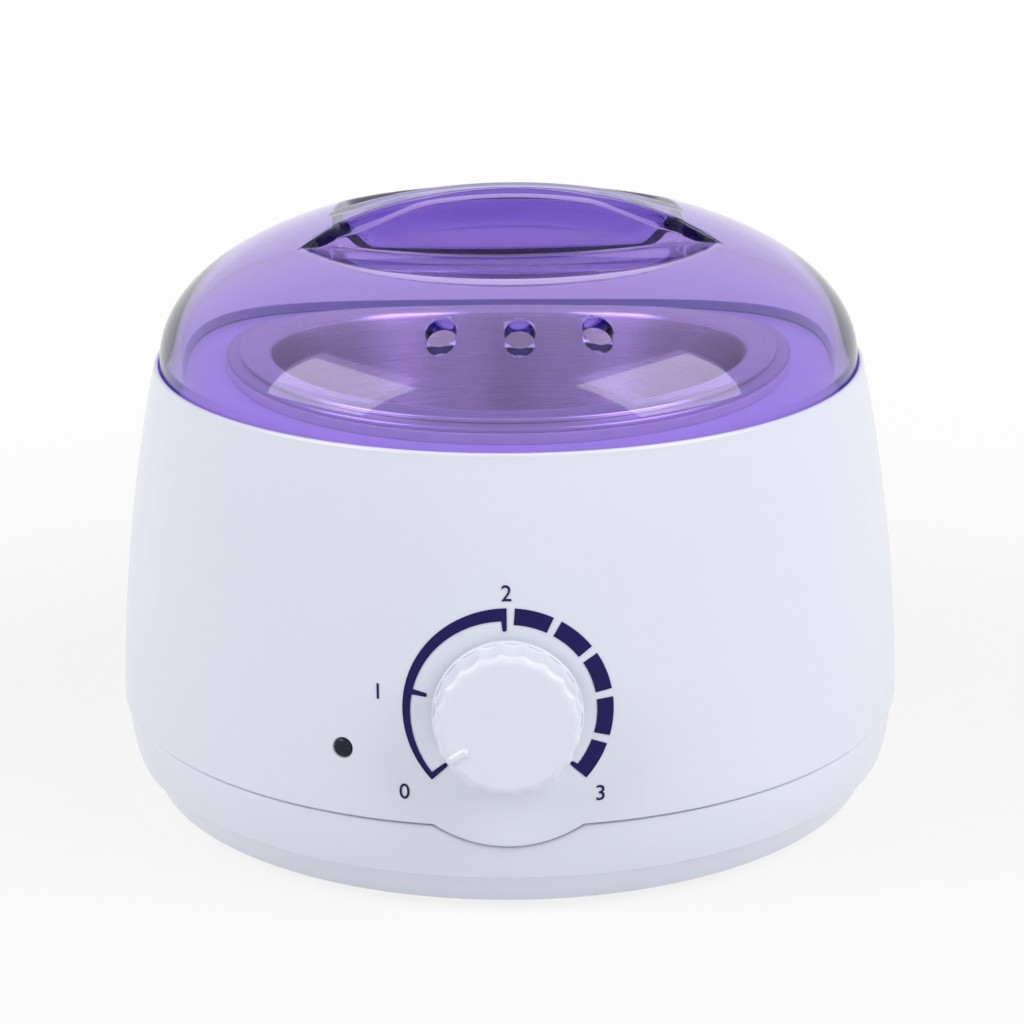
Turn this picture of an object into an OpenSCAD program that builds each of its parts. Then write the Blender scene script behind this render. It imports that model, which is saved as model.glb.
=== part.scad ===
// Table-top wax warmer: a white two-piece case that holds a heated aluminium well,
// a lift-out pot, a clear tinted lid with a grip bar, a thermostat knob and a pilot lamp.
// Millimetres, +Z up. The origin is on the axis of the case, in the plane the feet stand on.
// The front, with the knob, faces -Y.

/* [Case] */
// Outer radius of the upper case at its lower edge
case_bottom_r = 90.1; // [86:0.1:96]
// Width of the rim that the case shows round the lid
rim_width = 0.9; // [0.9:0.1:3]
// How far the side of the case stands out past a straight cone
case_belly = 1.9; // [0.5:0.1:3.5]
// Wall thickness of the upper case
case_wall = 2.5; // [1.8:0.1:3]
// Height of the seam between the upper case and the base
seam_z = 22; // [20:0.5:26]
// Height of the rim of the case
rim_z = 99.9; // [97:0.1:106]
// Radius that rounds the outer edge of the rim
rim_round = 0.8; // [0.4:0.1:0.8]
// Depth of the seat for the lid below the rim
lid_seat_depth = 2.7; // [2:0.1:4]
// Thickness of the deck inside the rim
deck_thickness = 2.4; // [1.8:0.1:3.2]
// Radius of the round tongue below the dial
tongue_r = 29.5; // [27:0.1:31]

/* [Base] */
// Height of the feet below the base
foot_height = 2; // [1:0.1:4]
// Radius of a foot
foot_r = 7; // [5:0.1:8]
// Distance of the feet from the axis
foot_ring_r = 66; // [58:0.5:70]
// Depth of the pocket that holds a foot
foot_pocket = 0.6; // [0.3:0.1:1]
// Thickness of the base floor
base_floor = 2.4; // [2:0.1:3.2]
// Radius of the base at its underside
base_bottom_r = 83; // [78:0.1:84]
// Height of the lower band of the base
base_band_h = 7.4; // [5:0.1:9]
// Width of the small step above the lower band
base_step = 0.8; // [0.3:0.1:1.5]
// How far the base is set in below the upper case
seam_inset = 0.9; // [0.4:0.1:1.6]
// Open joint between the upper case and the base
seam_gap = 0.4; // [0.2:0.1:0.8]
// Height of the lip that stands inside the upper case
lip_h = 5; // [3:0.5:8]
// Thickness of the lip
lip_wall = 2.4; // [2:0.1:3]
// Clearance between the lip and the upper case
lip_clearance = 0.4; // [0.3:0.05:0.6]
// Number of cooling slots in the base floor
vent_count = 12; // [6:1:16]
// Width of a cooling slot
vent_w = 2.4; // [1.5:0.1:3]
// Length of a cooling slot
vent_length = 14; // [8:0.5:18]
// Distance of the slots from the axis
vent_ring_r = 36; // [28:0.5:40]

/* [Case screws] */
// Number of case screws
case_screw_count = 4; // [3:1:6]
// Distance of the case screws from the axis
case_screw_ring_r = 75; // [72:0.5:76]
// Outer radius of a screw post
post_r = 3.6; // [3.2:0.1:4.2]
// Height of the boss that a post stands on
post_boss_h = 3; // [2:0.1:5]
// Height of the top of a post
post_top_z = 40; // [34:1:50]
// Thread radius of a case screw
case_screw_r = 1.5; // [1.2:0.1:1.8]
// Head radius of a case screw
case_screw_head_r = 3; // [2.4:0.1:3.2]
// Head height of a case screw
case_screw_head_h = 2; // [1.4:0.1:2.2]
// Length of a case screw below its head
case_screw_length = 14; // [10:0.5:18]

/* [Lid] */
// Outer radius of the lid
lid_r = 79.2; // [76:0.1:82]
// Clearance between the lid and the rim
lid_clearance = 0.3; // [0.2:0.05:0.8]
// Height of the dome above the lid's shoulder line
dome_rise = 35.8; // [30:0.1:42]
// Height of the shoulder line above the deck
shoulder_h = 2.8; // [2.8:0.1:5]
// Roundness of the dome, where 2 is an ellipse
dome_power = 2.1; // [1.9:0.05:2.4]
// Roundness of the inside of the dome
dome_inner_power = 2.28; // [2.1:0.02:2.4]
// Wall of the lid at its rim
lid_rim_wall = 3.8; // [3:0.1:4.2]
// Wall of the lid at the crown of its dome, measured upright
lid_crown_wall = 4.1; // [3:0.1:4.5]
// Wall of the lid in its grip bar and its recesses
lid_wall = 2; // [1.6:0.1:2.4]
// Turn of the lid on its seat
lid_turn = 2.4; // [-20:0.1:20]
// Number of steam holes
steam_hole_count = 3; // [1:1:5]
// Radius of a steam hole
steam_hole_r = 3.2; // [2:0.1:4]
// Distance of the steam holes from the axis
steam_hole_ring_r = 65.4; // [60:0.1:68]
// Angle between two steam holes
steam_hole_step = 14.3; // [10:0.1:18]

/* [Lid grip] */
// Half thickness of the grip bar at its middle
grip_half_w = 3.4; // [3:0.1:6]
// Radius of the hollow that the fingers press into along the bar
grip_waist_r = 160; // [120:1:400]
// Half length of the waisted stretch of the bar
grip_half_length = 38; // [32:0.5:42]
// How far the front recess runs past the waisted stretch
recess_tip_x = 48.5; // [46:0.1:50]
// How far the tips of the front recess lie in front of the axis
recess_tip_y = 20; // [16:0.1:24]
// Rise of the bar above the dome at its middle
grip_rise = 2.9; // [0.5:0.1:4]
// Depth of the front recess below the bar's top at its middle
front_recess_depth = 15.6; // [12:0.1:17]
// Dish radius of the front recess
front_dish_r = 215; // [180:1:260]
// Depth of the rear recess below the bar's top at its middle
rear_recess_depth = 15.4; // [12:0.1:17]
// Half length of the flat floor in the rear recess
rear_floor_half = 31; // [26:0.5:34]
// Radius of the flat floor in the rear recess
rear_floor_r = 33; // [30:0.5:38]
// Radius at which the rear recess reaches the dome
rear_edge_r = 49.2; // [46:0.1:52]

/* [Pot] */
// Inner radius of the pot at its mouth
pot_mouth_r = 54; // [50:0.1:54.5]
// Outer radius of the pot at its bottom
pot_foot_r = 51.4; // [46:0.1:52.5]
// Inner depth of the pot
pot_depth = 61; // [50:0.5:64]
// Wall thickness of the pot
pot_wall = 1; // [0.8:0.1:1.4]
// Width of the pot's flange, measured from its mouth
pot_flange_w = 7.6; // [5:0.1:9]
// Thickness of the pot's flange
pot_flange_h = 1; // [0.8:0.1:1.6]
// Radius between the pot's side and bottom
pot_corner_r = 6; // [3:0.5:10]

/* [Heated well] */
// Side clearance between the pot and the well
well_clearance = 0.9; // [0.4:0.1:1.5]
// Clearance below the pot
well_floor_gap = 0.3; // [0.2:0.05:1]
// Wall thickness of the well
well_wall = 1.2; // [0.8:0.1:1.8]
// How far the well's flange covers the edge of the deck
well_flange_cover = 6.3; // [5:0.1:8]
// Thickness of the well's flange
well_flange_h = 1; // [0.8:0.1:1.4]
// Thickness of the gasket under the flange
gasket_h = 2; // [0.5:0.1:2.5]
// Lower edge of the heater band above the well's bottom
heater_foot = 11; // [8:0.5:16]
// Height of the heater band
heater_h = 26; // [18:0.5:30]
// Thickness of the heater band
heater_thickness = 1.6; // [1:0.1:2]
// Width of the slit between the ends of the heater band
heater_slit = 8; // [6:0.5:12]
// Height of the strap round the heater band
strap_h = 8; // [5:0.5:12]
// Thickness of the strap
strap_thickness = 0.6; // [0.4:0.1:0.8]
// Thickness of the insulating wrap
wrap_thickness = 2; // [1.5:0.1:2.5]
// Clearance between the layers round the well
layer_gap = 0.15; // [0.1:0.05:0.3]
// Number of brackets that hold the well under the deck
bracket_count = 3; // [3:1:4]
// Distance of the bracket screws from the axis
bracket_screw_ring_r = 69; // [67:0.5:70]
// Height of the bosses under the deck
deck_boss_h = 7; // [6:0.5:9]
// Thickness of a bracket
bracket_thickness = 1.2; // [0.8:0.1:1.5]
// Width of a bracket
bracket_w = 10; // [8:0.5:14]

/* [Heat shield] */
// Radius of the heat shield
shield_r = 50; // [44:0.5:52]
// Thickness of the heat shield
shield_thickness = 0.8; // [0.5:0.1:1.2]
// Distance of the shield below the well
shield_drop = 8.4; // [7:0.1:12]
// Distance of the shield's studs from the axis
shield_stud_ring_r = 38; // [30:0.5:42]
// Radius of a shield stud
shield_stud_r = 3; // [2.6:0.1:4]
// Radius of the thermal fuse
fuse_r = 2; // [1.5:0.1:2.5]
// Length of the thermal fuse
fuse_length = 14; // [10:0.5:20]
// Distance of the thermal fuse from the axis
fuse_offset = 20; // [16:0.5:24]

/* [Knob and dial] */
// Height of the middle of the dial
dial_z = 47; // [44:0.5:54]
// Radius of the knob
knob_r = 15.6; // [13:0.1:17]
// Height of the knob
knob_h = 9.6; // [8:0.1:13]
// Height of the round skirt at the foot of the knob
knob_skirt_h = 1.6; // [1:0.1:2.5]
// Gap between the knob and the case
knob_gap = 0.8; // [0.5:0.1:1.5]
// Number of scallops round the knob
scallop_count = 20; // [12:1:24]
// Depth of a scallop
scallop_depth = 0.5; // [0.3:0.05:0.8]
// Wall of the knob
knob_wall = 1.9; // [1.5:0.1:2.5]
// Direction of the pointer at rest, counter-clockwise from the right
pointer_angle = 212; // [200:1:224]
// Length of the pointer
pointer_length = 6; // [4:0.1:8]
// Outer radius of the printed dial
dial_r = 21.8; // [20:0.1:23]
// Width of the dial's thick segments
dial_band = 3.4; // [2:0.1:3.8]
// Width of the dial's arc at its thin end
dial_thin = 1.1; // [0.8:0.1:2]
// Thickness of the print
print_thickness = 0.12; // [0.08:0.01:0.3]

/* [Thermostat] */
// Radius of the thermostat shaft
shaft_r = 3; // [2.5:0.1:3.2]
// Running clearance round the shaft
shaft_clearance = 0.05; // [0.02:0.01:0.08]
// Outer radius of the bushing
bushing_r = 4.7; // [4.2:0.1:5]
// Depth of the bracket plate behind the front of the case
plate_depth = 9.5; // [9:0.1:11]
// Thickness of the bracket plate
plate_thickness = 1.2; // [0.8:0.1:1.5]
// Distance of the bracket screws from the shaft
plate_screw_x = 16; // [14:0.5:17]
// Width of the thermostat body
stat_w = 22; // [18:0.5:24]
// Depth of the thermostat body
stat_depth = 8; // [6:0.5:9]
// Width of the nut across its flats
nut_flats = 13; // [12:0.5:15]

/* [Pilot lamp] */
// Height of the pilot lamp
lamp_z = 36.8; // [32:0.1:44]
// Direction of the pilot lamp, from the front towards the left
lamp_angle = 22.7; // [20:0.1:30]
// Radius of the lamp's lens
lens_r = 2; // [1.5:0.1:2.5]
// Radius of the lamp bulb
bulb_r = 2.4; // [2:0.1:2.6]
// Length of the lamp bulb
bulb_length = 11; // [8:0.5:14]

/* [Supply] */
// Bore radius of the cord inlet
inlet_bore_r = 3.3; // [2.5:0.1:3.6]
// Outer radius of the inlet's barrel
inlet_barrel_r = 4.6; // [4.2:0.1:4.8]
// Outer radius of the inlet's flange
inlet_flange_r = 5.7; // [5.4:0.1:5.9]
// Thickness of the inlet's flange
inlet_flange_h = 1.6; // [1:0.1:2]
// Length of the terminal block
block_length = 32; // [26:0.5:36]
// Distance of the cord clamp from the wall of the base
clamp_inset = 20.8; // [18:0.1:24]
// Distance between the terminal block and the cord clamp
block_to_clamp = 13; // [11:0.5:15]
// Radius of the inner wires
wire_r = 1.1; // [0.8:0.1:1.3]

/* [Hidden] */

eps = 0.01;
round_fn = 64;
fine_fn = 128;
profile_steps = 10;
dome_steps = 18;

// Heights that everything else hangs on
floor_z = foot_height;
floor_top_z = floor_z + base_floor;
deck_z = rim_z - lid_seat_depth;
deck_under_z = deck_z - deck_thickness;
gasket_top_z = deck_z + gasket_h;
well_top_z = gasket_top_z + well_flange_h;
pot_top_z = well_top_z + pot_flange_h;
pot_floor_z = pot_top_z - pot_depth;
pot_under_z = pot_floor_z - pot_wall;
well_floor_z = pot_under_z - well_floor_gap;
well_under_z = well_floor_z - well_wall;
shoulder_z = deck_z + shoulder_h;
shield_z = well_under_z - shield_drop;

// The side of the upper case: a straight cone plus a shallow parabola
function case_r(z) =
    let (t = (z - seam_z) / (rim_z - seam_z))
    case_bottom_r + (case_top_r - case_bottom_r) * t + case_belly * 4 * t * (1 - t);
function case_slope(z) =
    let (h = rim_z - seam_z, t = (z - seam_z) / h)
    (case_top_r - case_bottom_r) / h + case_belly * 4 * (1 - 2 * t) / h;

tongue_z = dial_z - tongue_r;
lip_outer_r = case_bottom_r - case_wall - lip_clearance;
lip_inner_r = lip_outer_r - lip_wall;
base_top_r = case_bottom_r - seam_inset;
base_top_z = seam_z - seam_gap;
base_step_z = floor_z + base_band_h;
// The cord inlet sits half-way up the upper band
inlet_z = (base_step_z + base_top_z) / 2;

// The case closes round the lid, and the deck, the well and the pot's flange round the pot's mouth
lid_seat_r = lid_r + lid_clearance;
case_top_r = lid_seat_r + rim_width;
deck_hole_r = pot_mouth_r + pot_wall + well_clearance + well_wall + 1.1;
well_flange_r = deck_hole_r + well_flange_cover;
pot_flange_r = pot_mouth_r + pot_flange_w;

// Outer side of the upper band of the base: it leans in towards the step
function base_r(z) = base_top_r - 1.6 * pow((base_top_z - z) / (base_top_z - base_step_z), 2);

// The dome of the lid, as points of a rounded ellipse
function dome_points(r, rise, power) = [
    for (i = [0 : dome_steps])
        let (a = 90 * i / dome_steps)
        [r * pow(cos(a), 2 / power), shoulder_z + rise * pow(sin(a), 2 / power)]
];
function dome_z(x) =
    shoulder_z + dome_rise * pow(1 - pow(abs(x) / lid_r, dome_power), 1 / dome_power);

// Half width of the grip bar in plan, out to the tips of the recess
function grip_w(x) = grip_half_w + x * x / (2 * grip_waist_r);
grip_top_z = shoulder_z + dome_rise + grip_rise;
front_floor_z = grip_top_z - front_recess_depth;
rear_floor_z = grip_top_z - rear_recess_depth;

module ring(r_out, r_in, h) {
    difference() {
        cylinder(r = r_out, h = h, $fn = fine_fn);
        translate([0, 0, -1]) cylinder(r = r_in, h = h + 2, $fn = fine_fn);
    }
}

// Copies of a child round the Z axis
module around(count, first = 0) {
    for (i = [0 : count - 1]) rotate(first + 360 * i / count) children();
}

// Local frame on the front of the case: +Z points straight out of the surface at height z
module on_case(z, turn = 0) {
    rotate(-turn)
        translate([0, -case_r(z), z])
            rotate([90 + atan(case_slope(z)), 0, 0])
                children();
}

// Upper case

module upper_case_body() {
    outer = [for (i = [0 : profile_steps])
        let (z = seam_z + (rim_z - rim_round - seam_z) * i / profile_steps) [case_r(z), z]];
    rim = [for (a = [22.5 : 22.5 : 90])
        [case_r(rim_z - rim_round) - rim_round * (1 - cos(a)), rim_z - rim_round * (1 - sin(a))]];
    inner_top = deck_under_z - 3;
    inner = [for (i = [profile_steps : -1 : 0])
        let (z = seam_z + (inner_top - seam_z) * i / profile_steps) [case_r(z) - case_wall, z]];
    rotate_extrude($fn = fine_fn)
        polygon(concat(
            [[case_bottom_r - case_wall, tongue_z - 1], [case_bottom_r, tongue_z - 1]],
            outer, rim,
            [[lid_seat_r, rim_z], [lid_seat_r, deck_z], [deck_hole_r, deck_z],
             [deck_hole_r, deck_under_z], [case_r(inner_top) - case_wall - 3, deck_under_z]],
            inner));
}

module dial_cylinder(r) {
    translate([0, 0, dial_z]) rotate([90, 0, 0]) cylinder(r = r, h = case_bottom_r + 10, $fn = fine_fn);
}

module screw_posts() {
    rib_foot_z = base_top_z + lip_h + 1;
    around(case_screw_count, 45) {
        translate([case_screw_ring_r, 0, floor_top_z + post_boss_h])
            cylinder(r = post_r, h = post_top_z - floor_top_z - post_boss_h, $fn = round_fn);
        translate([case_screw_ring_r, -1, rib_foot_z])
            cube([case_r(post_top_z) - case_wall + 0.8 - case_screw_ring_r, 2, post_top_z - rib_foot_z]);
    }
}

module deck_bosses() {
    around(bracket_count, 30)
        translate([bracket_screw_ring_r, 0, deck_under_z - deck_boss_h])
            cylinder(r = 3.4, h = deck_boss_h + eps, $fn = round_fn);
}

module upper_case() {
    color("white")
    difference() {
        union() {
            difference() {
                upper_case_body();
                difference() {
                    translate([0, 0, tongue_z - 2]) cylinder(r = case_bottom_r + 2, h = seam_z - tongue_z + 2, $fn = fine_fn);
                    dial_cylinder(tongue_r);
                }
            }
            screw_posts();
            deck_bosses();
            on_case(dial_z) for (x = [-plate_screw_x, plate_screw_x])
                translate([x, 0, -plate_depth]) cylinder(r = 3.4, h = plate_depth - 3.2, $fn = round_fn);
            on_case(lamp_z, lamp_angle) translate([0, 0, -8])
                cylinder(r = bulb_r + 3, h = 8 - case_wall + 0.6, $fn = round_fn);
        }
        // Pilot holes of the case screws
        around(case_screw_count, 45)
            translate([case_screw_ring_r, 0, floor_z])
                cylinder(r = case_screw_r + 0.05, h = case_screw_length + 4, $fn = round_fn);
        // Pilot holes of the bracket screws
        around(bracket_count, 30)
            translate([bracket_screw_ring_r, 0, deck_under_z - deck_boss_h - 1])
                cylinder(r = 1.35, h = deck_boss_h, $fn = round_fn);
        on_case(dial_z) {
            // Hole for the shaft
            translate([0, 0, -8]) cylinder(r = shaft_r + 1, h = 12, $fn = round_fn);
            for (x = [-plate_screw_x, plate_screw_x])
                translate([x, 0, -plate_depth - 1]) cylinder(r = 1.35, h = 6.4, $fn = round_fn);
        }
        on_case(lamp_z, lamp_angle) {
            translate([0, 0, -9]) cylinder(r = lens_r + 0.1, h = 12, $fn = round_fn);
            translate([0, 0, -9]) cylinder(r = bulb_r + 1.6, h = 9 - case_wall, $fn = round_fn);
        }
    }
}

// Base

module base_shell() {
    wall_in = lip_inner_r;
    upper_band = [for (i = [0 : 5])
        let (z = base_step_z + (base_top_z - base_step_z) * i / 5) [base_r(z), z]];
    color("white")
    difference() {
        union() {
            difference() {
                rotate_extrude($fn = fine_fn)
                    polygon(concat(
                        [[0, floor_z], [base_bottom_r, floor_z],
                         [base_r(base_step_z) - base_step, base_step_z]],
                        upper_band,
                        [[lip_outer_r, base_top_z], [lip_outer_r, base_top_z + lip_h],
                         [wall_in, base_top_z + lip_h], [wall_in, base_step_z - 0.5],
                         [base_bottom_r - base_floor + 0.6, floor_top_z], [0, floor_top_z]]));
                // Notch for the tongue, as deep as the lip
                difference() {
                    dial_cylinder(tongue_r + seam_gap);
                    translate([0, 0, -1]) cylinder(r = lip_outer_r, h = rim_z, $fn = fine_fn);
                }
            }
            around(case_screw_count, 45)
                translate([case_screw_ring_r, 0, floor_top_z - eps])
                    cylinder(r = post_r + 0.9, h = post_boss_h + eps, $fn = round_fn);
            clamp_posts();
            translate([0, block_y, floor_top_z - eps])
                cylinder(r = 3.2, h = block_boss_h + eps, $fn = round_fn);
            // Flat seat for the cord inlet
            translate([0, lip_inner_r + 1, inlet_z]) rotate([-90, 0, 0])
                cylinder(r = inlet_flange_r + 0.3, h = base_top_r - lip_inner_r - 1, $fn = round_fn);
        }
        around(case_screw_count, 45)
            translate([case_screw_ring_r, 0, 0]) {
                cylinder(r = case_screw_head_r + 0.3, h = floor_z + 1 + case_screw_head_h, $fn = round_fn);
                cylinder(r = case_screw_r + 0.2, h = 20, $fn = round_fn);
            }
        around(4) translate([foot_ring_r, 0, floor_z - 1])
            cylinder(r = foot_r + 0.1, h = 1 + foot_pocket, $fn = round_fn);
        around(vent_count, 15) translate([vent_ring_r, 0, 0])
            for (x = [-1, 1]) translate([x * (vent_length - vent_w) / 2, 0, 0])
                cylinder(r = vent_w / 2, h = 10, $fn = round_fn);
        around(vent_count, 15)
            translate([vent_ring_r - (vent_length - vent_w) / 2, -vent_w / 2, 0])
                cube([vent_length - vent_w, vent_w, 10]);
        // Hole for the cord inlet
        translate([0, lip_inner_r / 2, inlet_z]) rotate([-90, 0, 0])
            cylinder(r = inlet_barrel_r + 0.1, h = case_bottom_r, $fn = round_fn);
        for (x = [-clamp_x, clamp_x]) translate([x, clamp_y, floor_top_z - 1])
            cylinder(r = clip_screw_r + 0.05, h = 9, $fn = round_fn);
        translate([0, block_y, floor_top_z - 1]) cylinder(r = clip_screw_r + 0.05, h = 4, $fn = round_fn);
    }
}

clamp_x = 8;
clamp_y = lip_inner_r - clamp_inset;
block_y = clamp_y - block_to_clamp;
clamp_post_top = floor_top_z + 2 * inlet_bore_r - 0.6;
module clamp_posts() {
    for (x = [-clamp_x, clamp_x]) translate([x, clamp_y, floor_top_z - eps])
        cylinder(r = 3, h = clamp_post_top - floor_top_z + eps, $fn = round_fn);
}

module feet() {
    color("dimgray")
    around(4) translate([foot_ring_r, 0, 0]) {
        rotate_extrude($fn = round_fn)
            polygon([[0, 0], [foot_r - 0.6, 0], [foot_r, 0.6], [foot_r, floor_z + foot_pocket], [0, floor_z + foot_pocket]]);
    }
}

module screw(r, length, head_r, head_h) {
    // Head down, thread up, the underside of the head at z = 0
    difference() {
        union() {
            translate([0, 0, -head_h]) cylinder(r = head_r, h = head_h, $fn = round_fn);
            translate([0, 0, -eps]) cylinder(r = r, h = length + eps, $fn = round_fn);
        }
        for (a = [0, 90]) rotate(a)
            translate([-head_r * 0.6, -0.35, -head_h - eps]) cube([head_r * 1.2, 0.7, head_h * 0.5]);
    }
}

module case_screws() {
    color("silver")
    around(case_screw_count, 45)
        translate([case_screw_ring_r, 0, floor_z + 1 + case_screw_head_h])
            screw(case_screw_r, case_screw_length, case_screw_head_r, case_screw_head_h);
}

// Lid

// One side of the grip bar in plan, set in by s: side is 1 at the rear and -1 in front
function grip_side(side, s, reach) =
    [for (i = [-reach : reach]) let (x = grip_half_length * i / 8) [x, side * (grip_w(x) - s)]];

// Plan of the front recess, grown by s on all sides
module front_plan(s) {
    flare = recess_tip_x + 12;
    flare_y = recess_tip_y + 13;
    polygon(concat(
        [[-flare, -lid_r], [-flare, -flare_y + s], [-recess_tip_x, -recess_tip_y + s]],
        grip_side(-1, s, 8),
        [[recess_tip_x, -recess_tip_y + s], [flare, -flare_y + s], [flare, -lid_r]]));
}

module front_recess(s) {
    intersection() {
        translate([0, 0, shoulder_z]) linear_extrude(dome_rise + 10) front_plan(s);
        translate([0, 0, front_floor_z + front_dish_r]) sphere(r = front_dish_r + s, $fn = fine_fn);
    }
}

// The rear recess: flat floor, ends that slope at 45 degrees and a back that slopes up to the dome
module rear_recess(s) {
    top = 30;
    low = rear_floor_z - s;
    end = rear_floor_half + s * (sqrt(2) - 1);
    edge_z = dome_z(rear_edge_r);
    grow = (rear_edge_r - rear_floor_r) / (edge_z - rear_floor_z);
    intersection() {
        translate([0, 0, shoulder_z]) linear_extrude(dome_rise + 10)
            polygon(concat([[-lid_r, lid_r], [lid_r, lid_r]], reversed(grip_side(1, s, 9))));
        rotate([90, 0, 0]) translate([0, 0, -lid_r]) linear_extrude(lid_r)
            polygon([[-end, low], [end, low], [end + top, low + top], [-end - top, low + top]]);
        translate([0, 0, low]) cylinder(r1 = rear_floor_r + s * 0.2, r2 = rear_floor_r + s * 0.2 + top * grow, h = top, $fn = fine_fn);
    }
}

// The grip bar, with a crest that stands a little above the dome, shrunk by s
module grip_bar(s) {
    crest = [for (i = [-12 : 12]) let (x = (grip_half_length + 1) * i / 12)
        [x, dome_z(x) + grip_rise * (1 - pow(i / 12, 2)) - s]];
    intersection() {
        rotate([90, 0, 0]) translate([0, 0, -30]) linear_extrude(60)
            polygon(concat([[-grip_half_length - 1, shoulder_z]], crest, [[grip_half_length + 1, shoulder_z]]));
        translate([0, 0, shoulder_z - 1]) linear_extrude(60)
            polygon(concat(grip_side(1, s, 9), reversed(grip_side(-1, s, 9))));
    }
}

module lid_form(r, rise, power, foot_z, s) {
    difference() {
        union() {
            rotate_extrude($fn = fine_fn)
                polygon(concat([[0, foot_z], [r, foot_z]], dome_points(r, rise, power)));
            grip_bar(s);
        }
        front_recess(s);
        rear_recess(s);
    }
}

module lid() {
    color("mediumslateblue", 0.55)
    rotate(lid_turn)
    difference() {
        lid_form(lid_r, dome_rise, dome_power, deck_z, 0);
        lid_form(lid_r - lid_rim_wall, dome_rise - lid_crown_wall, dome_inner_power, deck_z - 1, lid_wall);
        for (i = [0 : steam_hole_count - 1])
            rotate(-90 + steam_hole_step * (i - (steam_hole_count - 1) / 2))
                translate([steam_hole_ring_r, 0, shoulder_z])
                    cylinder(r = steam_hole_r, h = dome_rise, $fn = round_fn);
    }
}

// Pot and well

// Side radius of the pot's outside at height z
function pot_r(z) = pot_foot_r + (pot_mouth_r + pot_wall - pot_foot_r) * (z - pot_under_z) / (well_top_z - pot_under_z);
// Side radius of the well's inside and outside at height z
function well_in_r(z) = pot_r(z) + well_clearance;
function well_out_r(z) = well_in_r(z) + well_wall;

// Quarter round from a floor up to a side, seen in section
function corner(r, z, radius) = [
    for (i = [0 : corner_steps])
        let (a = 90 * i / corner_steps)
        [r - radius * (1 - sin(a)), z + radius * (1 - cos(a))]
];
corner_steps = 5;
function reversed(list) = [for (i = [len(list) - 1 : -1 : 0]) list[i]];

module pot() {
    inner_corner_r = pot_corner_r - pot_wall;
    outer_side_r = pot_r(pot_under_z + pot_corner_r);
    inner_side_r = pot_r(pot_floor_z + inner_corner_r) - pot_wall;
    color("gainsboro")
    rotate_extrude($fn = fine_fn)
        polygon(concat(
            [[0, pot_under_z]],
            corner(outer_side_r, pot_under_z, pot_corner_r),
            [[pot_mouth_r + pot_wall, well_top_z], [pot_flange_r - 0.4, well_top_z],
             [pot_flange_r, well_top_z + 0.4], [pot_flange_r, pot_top_z - 0.3],
             [pot_flange_r - 0.3, pot_top_z], [pot_mouth_r + 0.4, pot_top_z],
             [pot_mouth_r, pot_top_z - 0.4]],
            reversed(corner(inner_side_r, pot_floor_z, inner_corner_r)),
            [[0, pot_floor_z]]));
}

stud_first = 30;
clip_boss_h = 3;
clip_boss_y = fuse_offset + fuse_r + 5;

module heated_well() {
    outer_corner_r = pot_corner_r + well_wall;
    inner_side_r = well_in_r(well_floor_z + pot_corner_r);
    outer_side_r = well_out_r(well_under_z + outer_corner_r);
    color("silver")
    difference() {
        union() {
            rotate_extrude($fn = fine_fn)
                polygon(concat(
                    [[0, well_under_z]],
                    corner(outer_side_r, well_under_z, outer_corner_r),
                    [[well_out_r(gasket_top_z), gasket_top_z], [well_flange_r, gasket_top_z],
                     [well_flange_r, well_top_z], [well_in_r(well_top_z), well_top_z]],
                    reversed(corner(inner_side_r, well_floor_z, pot_corner_r)),
                    [[0, well_floor_z]]));
            around(3, stud_first) translate([shield_stud_ring_r, 0, shield_z])
                cylinder(r = shield_stud_r, h = well_under_z - shield_z + eps, $fn = round_fn);
            translate([0, clip_boss_y, well_under_z - clip_boss_h])
                cylinder(r = 2.4, h = clip_boss_h + eps, $fn = round_fn);
        }
        around(3, stud_first) translate([shield_stud_ring_r, 0, shield_z - 1])
            cylinder(r = small_screw_r + 0.05, h = small_screw_length + 1, $fn = round_fn);
        translate([0, clip_boss_y, well_under_z - clip_boss_h - 1])
            cylinder(r = clip_screw_r + 0.05, h = clip_boss_h + 1, $fn = round_fn);
    }
}

// Screws that are the same in several places
small_screw_r = 1.3;
small_screw_head_r = 2.6;
small_screw_head_h = 1.6;
small_screw_length = 6;
clip_screw_r = 1.1;

module well_gasket() {
    color("whitesmoke")
    translate([0, 0, deck_z])
        difference() {
            cylinder(r = well_flange_r + 0.5, h = gasket_h, $fn = fine_fn);
            translate([0, 0, -1]) cylinder(r = deck_hole_r + 0.4, h = gasket_h + 2, $fn = fine_fn);
        }
}

// A conical layer round the well, between two heights, from one offset to another
module well_layer(z0, z1, inside, thickness) {
    rotate_extrude($fn = fine_fn)
        polygon([
            [well_out_r(z0) + inside, z0], [well_out_r(z0) + inside + thickness, z0],
            [well_out_r(z1) + inside + thickness, z1], [well_out_r(z1) + inside, z1]]);
}

heater_z = well_under_z + heater_foot;
strap_z = heater_z + (heater_h - strap_h) / 2;
strap_inside = 2 * layer_gap + heater_thickness;
wrap_inside = strap_inside + strap_thickness + layer_gap;
heater_tab_angle = 20;
heater_tab_h = 6;
heater_tab_w = 5;
heater_tab_thickness = 0.8;
heater_tab_r = well_out_r(heater_z) + layer_gap + heater_thickness / 2;

module rear_slit(w, z0, z1) {
    translate([-w / 2, 0, z0 - 1]) cube([w, lid_r, z1 - z0 + 2]);
}

module heater_band() {
    color("dimgray") {
        difference() {
            well_layer(heater_z, heater_z + heater_h, layer_gap, heater_thickness);
            rear_slit(heater_slit, heater_z, heater_z + heater_h);
        }
        for (a = [-heater_tab_angle, heater_tab_angle]) rotate(a)
            translate([-heater_tab_w / 2, heater_tab_r - heater_tab_thickness / 2, heater_z - heater_tab_h])
                cube([heater_tab_w, heater_tab_thickness, heater_tab_h + 1]);
    }
}

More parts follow.
